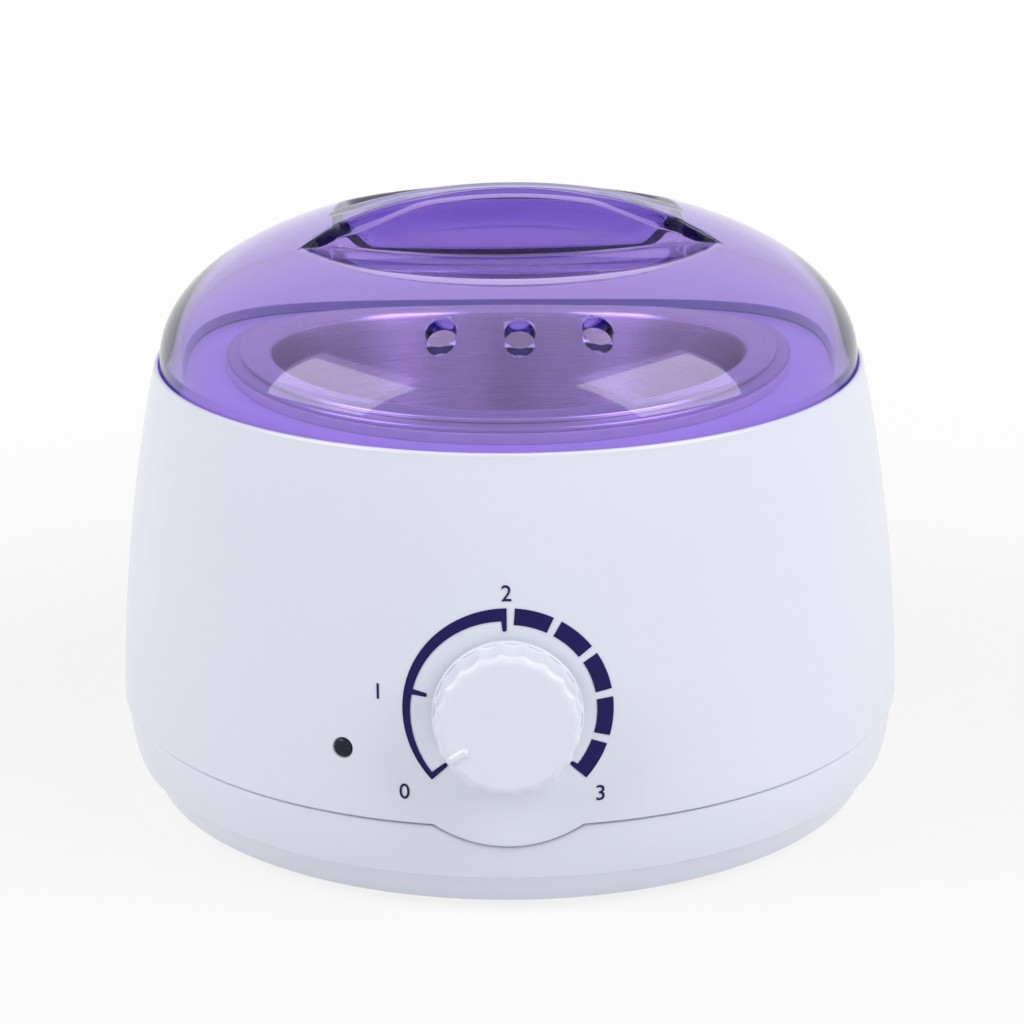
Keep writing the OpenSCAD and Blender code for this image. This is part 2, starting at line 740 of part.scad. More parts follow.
ear_gap = heater_slit - 2;
ear_thickness = 1.2;
ear_length = 8;
ear_y = well_out_r(strap_z + strap_h) + strap_inside + 0.1;
strap_screw_y = ear_y + ear_length - 3;

module heater_strap() {
    color("silver")
    difference() {
        union() {
            difference() {
                well_layer(strap_z, strap_z + strap_h, strap_inside, strap_thickness);
                rear_slit(ear_gap, strap_z, strap_z + strap_h);
            }
            for (side = [-1, 1])
                translate([side * (ear_gap + ear_thickness) / 2 - ear_thickness / 2, ear_y, strap_z])
                    cube([ear_thickness, ear_length, strap_h]);
        }
        translate([-ear_gap, strap_screw_y, strap_z + strap_h / 2]) rotate([0, 90, 0])
            cylinder(r = clip_screw_r + 0.1, h = 2 * ear_gap, $fn = round_fn);
    }
}

module strap_screw() {
    color("silver")
    translate([-ear_gap / 2 - ear_thickness, strap_screw_y, strap_z + strap_h / 2]) rotate([0, 90, 0])
        screw(clip_screw_r, ear_gap + 2 * ear_thickness + 1, 2.2, 1.4);
}

wrap_slit = ear_gap + 2 * ear_thickness + 8;
wrap_over = 2;
module insulation_wrap() {
    color("ivory")
    difference() {
        well_layer(heater_z - wrap_over, heater_z + heater_h + wrap_over, wrap_inside, wrap_thickness);
        rear_slit(wrap_slit, heater_z - wrap_over, heater_z + heater_h + wrap_over);
        // The tabs of the heater band hang past the lower edge
        for (a = [-heater_tab_angle, heater_tab_angle]) rotate(90 + a)
            translate([0, -heater_tab_w / 2 - 1, heater_z - wrap_over - 1])
                cube([lid_r, heater_tab_w + 2, wrap_over + 1.5]);
    }
}

bracket_top_z = deck_under_z - deck_boss_h;
bracket_leg_h = 11;
module well_brackets() {
    leg_z = bracket_top_z - bracket_leg_h;
    color("silver")
    around(bracket_count, 30)
        difference() {
            union() {
                intersection() {
                    well_layer(leg_z, bracket_top_z, layer_gap, bracket_thickness);
                    translate([0, -bracket_w / 2, leg_z]) cube([lid_r, bracket_w, bracket_leg_h]);
                }
                difference() {
                    translate([well_out_r(leg_z) - 5, -bracket_w / 2, bracket_top_z - bracket_thickness])
                        cube([bracket_screw_ring_r + 3.6 - well_out_r(leg_z) + 5, bracket_w, bracket_thickness]);
                    well_layer(leg_z, bracket_top_z + 1, -10, 10 + layer_gap);
                }
            }
            translate([bracket_screw_ring_r, 0, bracket_top_z - 5])
                cylinder(r = small_screw_r + 0.15, h = 10, $fn = round_fn);
        }
}

module bracket_screws() {
    color("silver")
    around(bracket_count, 30)
        translate([bracket_screw_ring_r, 0, bracket_top_z - bracket_thickness])
            screw(small_screw_r, small_screw_length, small_screw_head_r, small_screw_head_h);
}

shield_rim_h = 2.5;
shield_hole_x = 16;
shield_hole_y = 26;
module heat_shield() {
    color("lightgray")
    difference() {
        union() {
            translate([0, 0, shield_z - shield_thickness])
                cylinder(r = shield_r, h = shield_thickness, $fn = fine_fn);
            translate([0, 0, shield_z - eps])
                ring(shield_r, shield_r - shield_thickness, shield_rim_h);
        }
        around(3, stud_first) translate([shield_stud_ring_r, 0, shield_z - 3])
            cylinder(r = small_screw_r + 0.2, h = 6, $fn = round_fn);
        // Hole for the wire to the thermal fuse
        translate([shield_hole_x, shield_hole_y, shield_z - 3])
            cylinder(r = 3, h = 6, $fn = round_fn);
    }
}

module shield_screws() {
    color("silver")
    around(3, stud_first)
        translate([shield_stud_ring_r, 0, shield_z - shield_thickness])
            screw(small_screw_r, small_screw_length, small_screw_head_r, small_screw_head_h);
}

fuse_z = well_under_z - fuse_r - 0.1;
fuse_lead = 3;
clip_thickness = 0.7;
clip_w = 7;
clip_screw_head_h = 1.2;

module thermal_fuse() {
    color("tan")
    translate([0, fuse_offset, fuse_z]) rotate([0, 90, 0]) {
        translate([0, 0, -fuse_length / 2]) cylinder(r = fuse_r, h = fuse_length, $fn = round_fn);
        translate([0, 0, -fuse_length / 2 - fuse_lead])
            cylinder(r = 0.5, h = fuse_length + 2 * fuse_lead, $fn = round_fn);
    }
}

module fuse_clip() {
    hook_r = fuse_r + 0.1;
    tab_z = well_under_z - clip_boss_h;
    color("silver")
    difference() {
        rotate([90, 0, 90]) translate([0, 0, -clip_w / 2]) linear_extrude(clip_w)
            difference() {
                union() {
                    translate([fuse_offset, fuse_z]) circle(r = hook_r + clip_thickness, $fn = round_fn);
                    translate([fuse_offset, tab_z - clip_thickness])
                        square([clip_boss_y + 2.6 - fuse_offset, clip_thickness]);
                }
                translate([fuse_offset, fuse_z]) circle(r = hook_r, $fn = round_fn);
                translate([fuse_offset - 10, fuse_z]) square([10, 10]);
                translate([fuse_offset - 10, tab_z]) square([30, 10]);
            }
        translate([0, clip_boss_y, tab_z - 5]) cylinder(r = clip_screw_r + 0.15, h = 10, $fn = round_fn);
    }
}

module fuse_clip_screw() {
    color("silver")
    translate([0, clip_boss_y, well_under_z - clip_boss_h - clip_thickness])
        screw(clip_screw_r, clip_boss_h - 0.3 + clip_thickness, 2.1, clip_screw_head_h);
}

// Knob and thermostat

hub_r = shaft_r + 2.2;
shaft_end = knob_gap + knob_h - knob_wall - 0.6;
module knob() {
    grip_r = knob_r - 0.4;
    color("white")
    on_case(dial_z) translate([0, 0, knob_gap]) {
        difference() {
            union() {
                cylinder(r = knob_r, h = knob_skirt_h, $fn = fine_fn);
                difference() {
                    rotate_extrude($fn = fine_fn)
                        polygon([[0, 0], [grip_r, 0], [grip_r, knob_h - 1.3], [grip_r - 0.3, knob_h - 0.6],
                                 [grip_r - 1.1, knob_h - 0.15], [grip_r - 3, knob_h], [0, knob_h]]);
                    around(scallop_count, pointer_angle)
                        translate([grip_r - scallop_depth + 5, 0, knob_skirt_h]) cylinder(r = 5, h = knob_h, $fn = round_fn);
                }
                // Pointer
                rotate(pointer_angle) translate([knob_r - pointer_length, -0.8, knob_h - 1])
                    cube([pointer_length - 0.7, 1.6, 1.5]);
            }
            difference() {
                translate([0, 0, -1]) cylinder(r = knob_r - knob_wall - scallop_depth, h = knob_h - knob_wall + 1, $fn = fine_fn);
                translate([0, 0, -2]) cylinder(r = hub_r, h = knob_h + 2, $fn = round_fn);
            }
            translate([0, 0, -1]) cylinder(r = shaft_r + 0.03, h = shaft_end - knob_gap + 1.3, $fn = round_fn);
        }
    }
}

plate_back = plate_depth + plate_thickness;
module thermostat_shaft() {
    color("silver")
    on_case(dial_z) translate([0, 0, -plate_back + 0.2])
        cylinder(r = shaft_r, h = plate_back - 0.2 + shaft_end, $fn = round_fn);
}

bushing_front = case_wall + 0.8;
module thermostat_bushing() {
    color("silver")
    on_case(dial_z) translate([0, 0, -plate_back])
        difference() {
            cylinder(r = bushing_r, h = plate_back - bushing_front, $fn = round_fn);
            translate([0, 0, -1]) cylinder(r = shaft_r + shaft_clearance, h = plate_back, $fn = round_fn);
        }
}

nut_h = 3;
module thermostat_nut() {
    color("silver")
    on_case(dial_z) translate([0, 0, -plate_depth])
        difference() {
            intersection() {
                cylinder(r = nut_flats / sqrt(3), h = nut_h, $fn = 6);
                cylinder(r = nut_flats / sqrt(3) - 0.3, h = nut_h, $fn = round_fn);
            }
            translate([0, 0, -1]) cylinder(r = bushing_r + 0.05, h = nut_h + 2, $fn = round_fn);
        }
}

module thermostat_body() {
    color("saddlebrown")
    on_case(dial_z) translate([-stat_w / 2, -stat_w / 2, -plate_back - stat_depth])
        cube([stat_w, stat_w, stat_depth]);
}

blade_x = 6;
blade_w = 5;
blade_length = 7;
blade_thickness = 0.8;
module thermostat_blades() {
    color("gold")
    on_case(dial_z) for (x = [-blade_x, blade_x])
        translate([x - blade_w / 2, -stat_w / 2 - blade_length, -plate_back - stat_depth / 2 - blade_thickness / 2])
            cube([blade_w, blade_length, blade_thickness]);
}

plate_w = 2 * plate_screw_x + 8;
plate_h = 16;
module thermostat_plate() {
    color("lightgray")
    on_case(dial_z) translate([0, 0, -plate_back])
        difference() {
            translate([-plate_w / 2, -plate_h / 2, 0]) cube([plate_w, plate_h, plate_thickness]);
            translate([0, 0, -1]) cylinder(r = bushing_r + 0.1, h = plate_thickness + 2, $fn = round_fn);
            for (x = [-plate_screw_x, plate_screw_x]) translate([x, 0, -1])
                cylinder(r = small_screw_r + 0.15, h = plate_thickness + 2, $fn = round_fn);
        }
}

plate_screw_length = 5.6;
module plate_screws() {
    color("silver")
    on_case(dial_z) for (x = [-plate_screw_x, plate_screw_x])
        translate([x, 0, -plate_back])
            screw(small_screw_r, plate_screw_length, small_screw_head_r, small_screw_head_h);
}

// Printed dial

off_angle = 223.4;
on_angle = 169.5;
mid_angle = 90.5;
segment_first = 86;
segment_span = 21.8;
segment_pitch = 26.6;
segment_count = 5;
tick_depth = 4.8;
tick_span = 3.2;
print_gap = 0.03;

// Width of the long arc, which grows from the OFF end to its middle setting
function arc_w(a) = dial_thin + (dial_band - 0.7 - dial_thin) * (off_angle - a) / (off_angle - mid_angle);
// Angles and widths along an arc of even width, and along the long arc
function even_run(a0, a1, w, steps) = [for (i = [0 : steps]) [a0 + (a1 - a0) * i / steps, w]];
function growing_run(a0, a1, steps) =
    [for (i = [0 : steps]) let (a = a0 + (a1 - a0) * i / steps) [a, arc_w(a)]];

// A place on the case, at polar place r, a round the dial and s outside the surface
function dial_place(r, a, s) =
    let (x = r * cos(a), z = dial_z + r * sin(a), out = case_r(z) + s)
    [x, -sqrt(out * out - x * x), z];

// A printed mark: a strip on the case from the dial's outer circle inwards, of the widths given
module dial_strip(run) {
    n = len(run);
    points = [for (p = run)
        for (q = [[dial_r, 0], [dial_r - p[1] / 2, 0], [dial_r - p[1], 0],
                  [dial_r - p[1], 1], [dial_r - p[1] / 2, 1], [dial_r, 1]])
            dial_place(q[0], p[0], print_gap + print_thickness * q[1])];
    m = 6;
    sides = [for (i = [0 : n - 2], k = [0 : m - 1])
        let (a = i * m + k, b = i * m + (k + 1) % m)
        for (f = [[a, b, a + m], [b, b + m, a + m]]) f];
    ends = [for (e = [[0, 1], [(n - 1) * m, -1]])
        for (f = [[0, 4, 1], [0, 5, 4], [1, 4, 3], [1, 3, 2]])
            e[1] > 0 ? [for (k = f) e[0] + k] : [e[0] + f[0], e[0] + f[2], e[0] + f[1]]];
    polyhedron(points, concat(sides, ends));
}

module dial_print() {
    half_tick = tick_span / 2;
    edge = 0.3;
    color("midnightblue") {
        dial_strip(concat(
            [[off_angle, tick_depth], [off_angle - tick_span, tick_depth]],
            growing_run(off_angle - tick_span - edge, on_angle + half_tick + edge, 10),
            [[on_angle + half_tick, tick_depth], [on_angle - half_tick, tick_depth]],
            growing_run(on_angle - half_tick - edge, mid_angle + tick_span + edge, 14),
            [[mid_angle + tick_span, tick_depth], [mid_angle, tick_depth]]));
        for (i = [0 : segment_count - 1]) {
            from = segment_first - segment_pitch * i;
            to = from - segment_span;
            if (i < segment_count - 1) dial_strip(even_run(from, to, dial_band, 4));
            else dial_strip(concat(
                even_run(from, to + tick_span + edge, dial_band, 4),
                [[to + tick_span, tick_depth], [to, tick_depth]]));
        }
    }
}

// Pilot lamp

lens_flange_h = 1;
lens_out = 0.5;
module lamp_lens() {
    color("midnightblue")
    on_case(lamp_z, lamp_angle) {
        translate([0, 0, -case_wall - lens_flange_h])
            cylinder(r = bulb_r + 1.4, h = lens_flange_h, $fn = round_fn);
        rotate_extrude($fn = round_fn)
            polygon([[0, -case_wall - eps], [lens_r, -case_wall - eps], [lens_r, 0], [lens_r * 0.85, lens_out * 0.55],
                     [lens_r * 0.5, lens_out * 0.9], [0, lens_out]]);
    }
}

bulb_front = case_wall + lens_flange_h + 0.3;
module lamp_bulb() {
    color("orange")
    on_case(lamp_z, lamp_angle) translate([0, 0, -bulb_front - bulb_length])
        rotate_extrude($fn = round_fn)
            polygon([[0, 0], [bulb_r, 0], [bulb_r, bulb_length - 1.6], [bulb_r * 0.7, bulb_length - 0.4], [0, bulb_length]]);
}

lamp_boss_back = 8;
holder_back = 12;
module lamp_holder() {
    color("black")
    on_case(lamp_z, lamp_angle)
        difference() {
            union() {
                translate([0, 0, -holder_back])
                    cylinder(r = bulb_r + 3, h = holder_back - lamp_boss_back, $fn = round_fn);
                translate([0, 0, -holder_back])
                    cylinder(r = bulb_r + 1.5, h = holder_back - bulb_front - 0.8, $fn = round_fn);
            }
            translate([0, 0, -holder_back - 1]) cylinder(r = bulb_r + 0.05, h = holder_back, $fn = round_fn);
        }
}

// Supply

inlet_back = 9.5;
inlet_nut_flats = 11.4;
inlet_nut_h = 2.6;
module cord_inlet() {
    color("black")
    translate([0, base_top_r + inlet_flange_h, inlet_z]) rotate([90, 0, 0])
        difference() {
            union() {
                cylinder(r = inlet_flange_r, h = inlet_flange_h, $fn = round_fn);
                cylinder(r = inlet_barrel_r, h = inlet_flange_h + inlet_back, $fn = round_fn);
            }
            translate([0, 0, -1]) cylinder(r = inlet_bore_r, h = inlet_flange_h + inlet_back + 2, $fn = round_fn);
        }
}

module inlet_nut() {
    color("black")
    translate([0, lip_inner_r - 0.3, inlet_z]) rotate([90, 0, 0])
        difference() {
            cylinder(r = inlet_nut_flats / sqrt(3), h = inlet_nut_h, $fn = 6);
            translate([0, 0, -1]) cylinder(r = inlet_barrel_r + 0.05, h = inlet_nut_h + 2, $fn = round_fn);
        }
}

clamp_w = 7;
clamp_thickness = 2;
module cord_clamp() {
    color("black")
    difference() {
        translate([-clamp_x - 3, clamp_y - clamp_w / 2, clamp_post_top])
            cube([2 * clamp_x + 6, clamp_w, clamp_thickness]);
        for (x = [-clamp_x, clamp_x]) translate([x, clamp_y, clamp_post_top - 1])
            cylinder(r = clip_screw_r + 0.15, h = clamp_thickness + 2, $fn = round_fn);
    }
}

clamp_screw_length = 7;
module clamp_screws() {
    color("silver")
    for (x = [-clamp_x, clamp_x]) translate([x, clamp_y, clamp_post_top + clamp_thickness])
        rotate([180, 0, 0]) screw(clip_screw_r, clamp_screw_length, 2.1, 1.4);
}

block_w = 12;
block_h = 11;
block_boss_h = 2;
block_z = floor_top_z + block_boss_h;
block_ways = [-12, -6, 6, 12];
block_wire_z = block_z + 4;
block_bore = 3;
module terminal_block() {
    color("ivory")
    translate([0, block_y, block_z])
        difference() {
            translate([-block_length / 2, -block_w / 2, 0]) cube([block_length, block_w, block_h]);
            for (x = block_ways) {
                for (y = [-block_w / 2, block_w / 2]) translate([x, y, block_wire_z - block_z])
                    rotate([90, 0, 0]) cylinder(r = wire_r + 0.2, h = 2 * block_bore, center = true, $fn = round_fn);
                translate([x, 0, block_h - 3]) cylinder(r = 1.8, h = 4, $fn = round_fn);
            }
            translate([0, 0, -1]) cylinder(r = clip_screw_r + 0.15, h = block_h + 2, $fn = round_fn);
            translate([0, 0, block_h - 4]) cylinder(r = 2.4, h = 5, $fn = round_fn);
        }
}

module block_screw() {
    color("silver")
    translate([0, block_y, block_z + block_h - 4]) rotate([180, 0, 0])
        screw(clip_screw_r, block_h - 4 + 3, 2.1, 1.4);
}

// Inner wires: smooth curves through points chosen by hand, with 8-sided tubes along them

wire_sides = 8;
wire_steps = 2;
wire_floor_z = floor_top_z + wire_r + 0.6;

function unit(v) = v / norm(v);
function spline_point(a, b, c, d, t) =
    0.5 * (2 * b + (c - a) * t + (2 * a - 5 * b + 4 * c - d) * t * t + (3 * b - a - 3 * c + d) * t * t * t);
function spline(p) =
    let (n = len(p) - 1)
    concat(
        [for (i = [0 : n - 1], k = [0 : wire_steps - 1])
            spline_point(p[max(i - 1, 0)], p[i], p[i + 1], p[min(i + 2, n)], k / wire_steps)],
        [p[n]]);
function tangent(p, i) = unit(p[min(i + 1, len(p) - 1)] - p[max(i - 1, 0)]);

// A wire from one end to another: each end is its last point and the point up to which it runs straight
module wire(from, points, to, side) {
    p = concat([from[0]], spline(concat([from[1]], points, [to[1]])), [to[0]]);
    n = len(p);
    rings = [for (i = [0 : n - 1])
        let (t = tangent(p, i), u = unit(cross(t, side)), v = cross(t, u))
        for (k = [0 : wire_sides - 1])
            let (a = 360 * k / wire_sides)
            p[i] + wire_r * (cos(a) * u + sin(a) * v)];
    sides = [for (i = [0 : n - 2], k = [0 : wire_sides - 1])
        let (a = i * wire_sides + k, b = i * wire_sides + (k + 1) % wire_sides)
        for (f = [[a, a + wire_sides, b], [b, a + wire_sides, b + wire_sides]]) f];
    ends = [for (k = [1 : wire_sides - 2])
        for (f = [[0, k, k + 1], [(n - 1) * wire_sides, (n - 1) * wire_sides + k + 1, (n - 1) * wire_sides + k]]) f];
    polyhedron(rings, concat(sides, ends));
}

// A place given in the frame of on_case(), in the frame of the whole part
function case_place(z, turn, p) =
    let (tilt = 90 + atan(case_slope(z)),
         y = -case_r(z) + p.y * cos(tilt) - p.z * sin(tilt),
         h = z + p.y * sin(tilt) + p.z * cos(tilt))
    [p.x * cos(turn) + y * sin(turn), y * cos(turn) - p.x * sin(turn), h];

function blade_end(side) = [for (out = [0, 8])
    case_place(dial_z, 0, [side * blade_x, -stat_w / 2 - blade_length - out, -plate_back - stat_depth / 2])];
function block_end(x) = [for (out = [0, 7]) [x, block_y - block_w / 2 + block_bore - out, block_wire_z]];
function tab_end(side) = [for (out = [0, 4])
    [side * heater_tab_r * sin(heater_tab_angle), heater_tab_r * cos(heater_tab_angle),
     heater_z - heater_tab_h - out]];
function lamp_end() = [for (out = [0, 5]) case_place(lamp_z, lamp_angle, [0, 0, -bulb_front - bulb_length - out])];
function fuse_end(side) = [for (out = [0, 4]) [side * (fuse_length / 2 + fuse_lead + out), fuse_offset, fuse_z]];

module supply_wire() {
    color("firebrick")
    wire(block_end(-12),
         [[-12, 20, wire_floor_z], [-10, -20, wire_floor_z], [-7, -56, wire_floor_z + 1],
          [-6, -70, wire_floor_z + 6]],
         blade_end(-1), [1, 0, 0]);
}

module heater_wire() {
    color("black")
    wire(blade_end(1),
         [[6, -70, wire_floor_z + 6], [8, -56, wire_floor_z + 1], [16, -20, wire_floor_z],
          [21, 20, wire_floor_z], [21, 44, wire_floor_z + 3], [20, 54, 20]],
         tab_end(1), [1, 0, 0]);
}

module fuse_wire() {
    color("steelblue") {
        wire(block_end(6),
             [[10, 34, 14], [shield_hole_x - 1, shield_hole_y + 2, shield_z - 6],
              [shield_hole_x, shield_hole_y, shield_z - 0.5]],
             fuse_end(1), [1, 1, 0]);
        wire(fuse_end(-1),
             [[-19, 24, fuse_z - 1], [-22, 36, fuse_z - 2], [-21, 48, fuse_z - 2]],
             tab_end(-1), [1, 1, 0]);
    }
}

module lamp_wire() {
    color("olivedrab")
    wire(lamp_end(),
         [[-20, -52, 26], [-14, -46, 14], [-4, -36, wire_floor_z + 1], [6, 0, wire_floor_z],
          [11, 30, wire_floor_z + 1]],
         block_end(12), [1, 0, 0]);
}

upper_case();
base_shell();
feet();
case_screws();
lid();
pot();
heated_well();
well_gasket();
well_brackets();
bracket_screws();
heater_band();
heater_strap();
strap_screw();
insulation_wrap();
heat_shield();
shield_screws();
thermal_fuse();
fuse_clip();
fuse_clip_screw();
knob();
thermostat_shaft();
thermostat_bushing();
thermostat_nut();
thermostat_body();
thermostat_blades();
thermostat_plate();
plate_screws();
dial_print();
lamp_lens();
lamp_bulb();
lamp_holder();
cord_inlet();
inlet_nut();
cord_clamp();
clamp_screws();
terminal_block();
block_screw();
supply_wire();
heater_wire();
fuse_wire();
lamp_wire();
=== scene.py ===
"""Looks of a table-top wax warmer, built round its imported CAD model.

Sizes are in millimetres and become metres when a mesh is made. Z is up, and the front, with the
knob, faces -Y. An azimuth is counted from the front, positive towards +X.
"""

import logging
import math
from dataclasses import dataclass, field
from enum import Enum
from typing import Callable, Optional, Sequence

import bmesh
import bpy
import numpy as np
from mathutils import Matrix, Vector


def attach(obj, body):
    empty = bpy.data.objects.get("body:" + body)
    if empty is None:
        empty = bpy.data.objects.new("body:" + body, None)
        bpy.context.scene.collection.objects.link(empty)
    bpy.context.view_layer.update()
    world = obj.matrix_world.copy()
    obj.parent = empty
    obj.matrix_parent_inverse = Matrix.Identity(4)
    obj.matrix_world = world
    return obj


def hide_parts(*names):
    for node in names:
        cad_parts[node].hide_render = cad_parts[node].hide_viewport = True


Array = np.ndarray
Colour = tuple[float, float, float]
Triple = tuple[float, float, float]
Span = tuple[float, float]
Spot = tuple[float, float]
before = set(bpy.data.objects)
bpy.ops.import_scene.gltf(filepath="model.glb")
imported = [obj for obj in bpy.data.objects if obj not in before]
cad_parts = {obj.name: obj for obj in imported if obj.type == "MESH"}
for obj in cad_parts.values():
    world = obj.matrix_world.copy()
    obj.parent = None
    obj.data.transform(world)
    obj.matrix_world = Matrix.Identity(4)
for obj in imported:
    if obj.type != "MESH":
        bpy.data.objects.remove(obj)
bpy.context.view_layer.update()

MM = 0.001
FULL_TURN = 2 * math.pi
MERGE_DISTANCE = 2e-6
NOISE_SPAN = (0.3, 0.7)
FAR_BELOW = -1e3

log = logging.getLogger("wax_warmer")


class Body(str, Enum):
    """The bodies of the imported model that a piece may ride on."""

    ROOT = "root"
    POT = "pot"
    LID = "lid"
    KNOB = "knob"


class Cut(str, Enum):
    """What a set of tool solids does to a piece."""

    TAKE_AWAY = "DIFFERENCE"
    JOIN = "UNION"


# Curves and profiles


def rounded(corners: Sequence[tuple[float, float, float]], steps: int = 5) -> Array:
    """Gives a section line whose corners are turned into arcs.

    An arc of radius q touches both sides of its corner at q * tan(turn / 2) from it.

    Args:
        corners: The corners as (radius, height, rounding).
        steps: Points in each arc, less one.

    Returns:
        The line as an array of (radius, height).
    """
    points = np.array([c[:2] for c in corners], float)
    line = [points[:1]]
    for i in range(1, len(points) - 1):
        size = corners[i][2]
        before, after = points[i - 1] - points[i], points[i + 1] - points[i]
        before /= np.linalg.norm(before)
        after /= np.linalg.norm(after)
        inside = math.acos(float(np.clip(before @ after, -1, 1)))
        if size <= 0 or inside > math.pi - 0.01:
            line.append(points[i:i + 1])
            continue
        reach = size / math.tan(inside / 2)
        inwards = (before + after) / np.linalg.norm(before + after)
        middle = points[i] + inwards * size / math.sin(inside / 2)
        start, end = points[i] + before * reach - middle, points[i] + after * reach - middle
        a0 = math.atan2(start[1], start[0])
        sweep = (math.atan2(end[1], end[0]) - a0 + math.pi) % FULL_TURN - math.pi
        a = a0 + sweep * np.linspace(0, 1, steps + 1)
        line.append(middle + size * np.stack([np.cos(a), np.sin(a)], -1))
    line.append(points[-1:])
    return np.concatenate(line)


def denser(line: Array, longest: float) -> Array:
    """Adds points on the straight runs of a line, so that no run is longer than the length given.

    Args:
        line: The line as an array of (radius, height).
        longest: The longest run that stays.

    Returns:
        The line with its new points, all on the old runs.
    """
    runs = np.linalg.norm(np.diff(line, axis=0), axis=1)
    places = np.concatenate([[0.0], np.cumsum(runs)])
    counts = np.maximum(1, np.ceil(runs / longest).astype(int))
    wanted = np.concatenate([a + (b - a) * np.arange(n) / n
                             for a, b, n in zip(places[:-1], places[1:], counts)] + [places[-1:]])
    return np.stack([np.interp(wanted, places, line[:, 0]), np.interp(wanted, places, line[:, 1])], -1)


def smooth_low(a: Array, b: Array, width: float) -> Array:
    """The lower of two heights, with a fillet: less q * q * width / 4 where they are q * width close."""
    q = np.clip(1 - np.abs(a - b) / width, 0, 1)
    return np.minimum(a, b) - q * q * width / 4


def smooth_high(a: Array, b: Array, width: float) -> Array:
    """The higher of two heights, with the same fillet as smooth_low turned over."""
    return -smooth_low(-a, -b, width)


def polar(radius: Array, azimuth: Array, height: Array) -> Array:
    """Points at (radius * sin(azimuth), -radius * cos(azimuth), height)."""
    radius, azimuth, height = np.broadcast_arrays(radius, azimuth, height)
    return np.stack([radius * np.sin(azimuth), -radius * np.cos(azimuth), height], -1)


def turned(points: Array, angle: float) -> Array:
    """Points turned by an angle about the upright axis, counter-clockwise from above."""
    c, s = math.cos(angle), math.sin(angle)
    return points @ np.array([[c, -s, 0], [s, c, 0], [0, 0, 1]]).T


def ring_angles(count: int, first_degrees: float) -> list[float]:
    """Directions of pieces that stand evenly all round, in radians from +X, counter-clockwise."""
    return [math.radians(first_degrees + 360 / count * k) for k in range(count)]


def ring_spots(count: int, ring_r: float, first_degrees: float) -> list[Spot]:
    """Places as (x, y) of pieces that stand evenly round a circle about the upright axis."""
    return [(ring_r * math.cos(a), ring_r * math.sin(a)) for a in ring_angles(count, first_degrees)]


# Meshes


@dataclass
class Patch:
    """A surface in millimetres: points, and faces of four points each."""

    points: Array
    quads: Array

    @classmethod
    def grid(cls, points: Array, wrap_rows: bool = False, wrap_columns: bool = False) -> "Patch":
        """Joins a grid of points into faces.

        Args:
            points: The points as an array of (rows, columns, 3).
            wrap_rows: True where the last row joins the first.
            wrap_columns: True where the last column joins the first.

        Returns:
            The surface.
        """
        rows, columns = points.shape[:2]
        r = np.arange(rows if wrap_rows else rows - 1)[:, None]
        c = np.arange(columns if wrap_columns else columns - 1)[None, :]
        r1, c1 = (r + 1) % rows, (c + 1) % columns
        quads = np.stack([r * columns + c, r * columns + c1, r1 * columns + c1, r1 * columns + c], -1)
        return cls(points.reshape(-1, 3), quads.reshape(-1, 4))

    @classmethod
    def joined(cls, patches: Sequence["Patch"]) -> "Patch":
        """Puts several surfaces into one, without welding them.

        Args:
            patches: The surfaces.

        Returns:
            One surface with all their points and faces.
        """
        starts = np.cumsum([0] + [len(p.points) for p in patches[:-1]])
        return cls(np.concatenate([p.points for p in patches]),
                   np.concatenate([p.quads + s for p, s in zip(patches, starts)]))

    def volume(self) -> float:
        """The signed volume of a closed surface: a sixth of the sum of a . (b x c) over its triangles.

        Returns:
            The volume in cubic millimetres, which is positive where the faces look outwards.
        """
        a, b, c, d = (self.points[self.quads[:, k]] for k in range(4))
        total = np.einsum("ij,ij->i", a, np.cross(b, c)) + np.einsum("ij,ij->i", a, np.cross(c, d))
        return float(total.sum() / 6)

    def flipped(self) -> "Patch":
        """The same surface with its faces turned over."""
        return Patch(self.points, self.quads[:, ::-1])

    def outward(self) -> "Patch":
        """The same closed surface with its faces turned outwards."""
        return self if self.volume() >= 0 else self.flipped()

    def moved(self, place: Callable[[Array], Array]) -> "Patch":
        """The same surface with each point taken to its place."""
        return Patch(place(self.points), self.quads)


def lathe(line: Array, columns: int = 192, middle: Spot = (0.0, 0.0)) -> Patch:
    """Turns a closed section, or one that starts and ends on the axis, round an upright axis.

    Point (i, j) lies at radius r(i), azimuth 2 * pi * j / columns and height z(i).

    Args:
        line: The section as an array of (radius, height).
        columns: Steps round the axis.
        middle: Where the axis stands, as (x, y).

    Returns:
        The closed surface, facing outwards.
    """
    azimuth = FULL_TURN * np.arange(columns) / columns
    points = polar(line[:, :1], azimuth[None, :], line[:, 1:])
    points = points + np.array([middle[0], middle[1], 0.0])
    closed = line[0, 0] > 1e-6 or line[-1, 0] > 1e-6
    return Patch.grid(points, wrap_rows=closed, wrap_columns=True).outward()


def peg(radius: float, low: float, high: float, low_round: float = 0.0, high_round: float = 0.0,
        spot: Spot = (0.0, 0.0), columns: int = 48) -> Patch:
    """A round peg, or the cutter of a round hole: a rectangle with two rounded corners, turned.

    Args:
        radius: Its radius.
        low: Height of its lower end.
        high: Height of its upper end.
        low_round: Rounding of its lower edge.
        high_round: Rounding of its upper edge.
        spot: Where its axis stands, as (x, y).
        columns: Steps round the axis.

    Returns:
        The closed surface.
    """
    section = rounded([(0, low, 0), (radius, low, low_round), (radius, high, high_round), (0, high, 0)])
    return lathe(section, columns, spot)


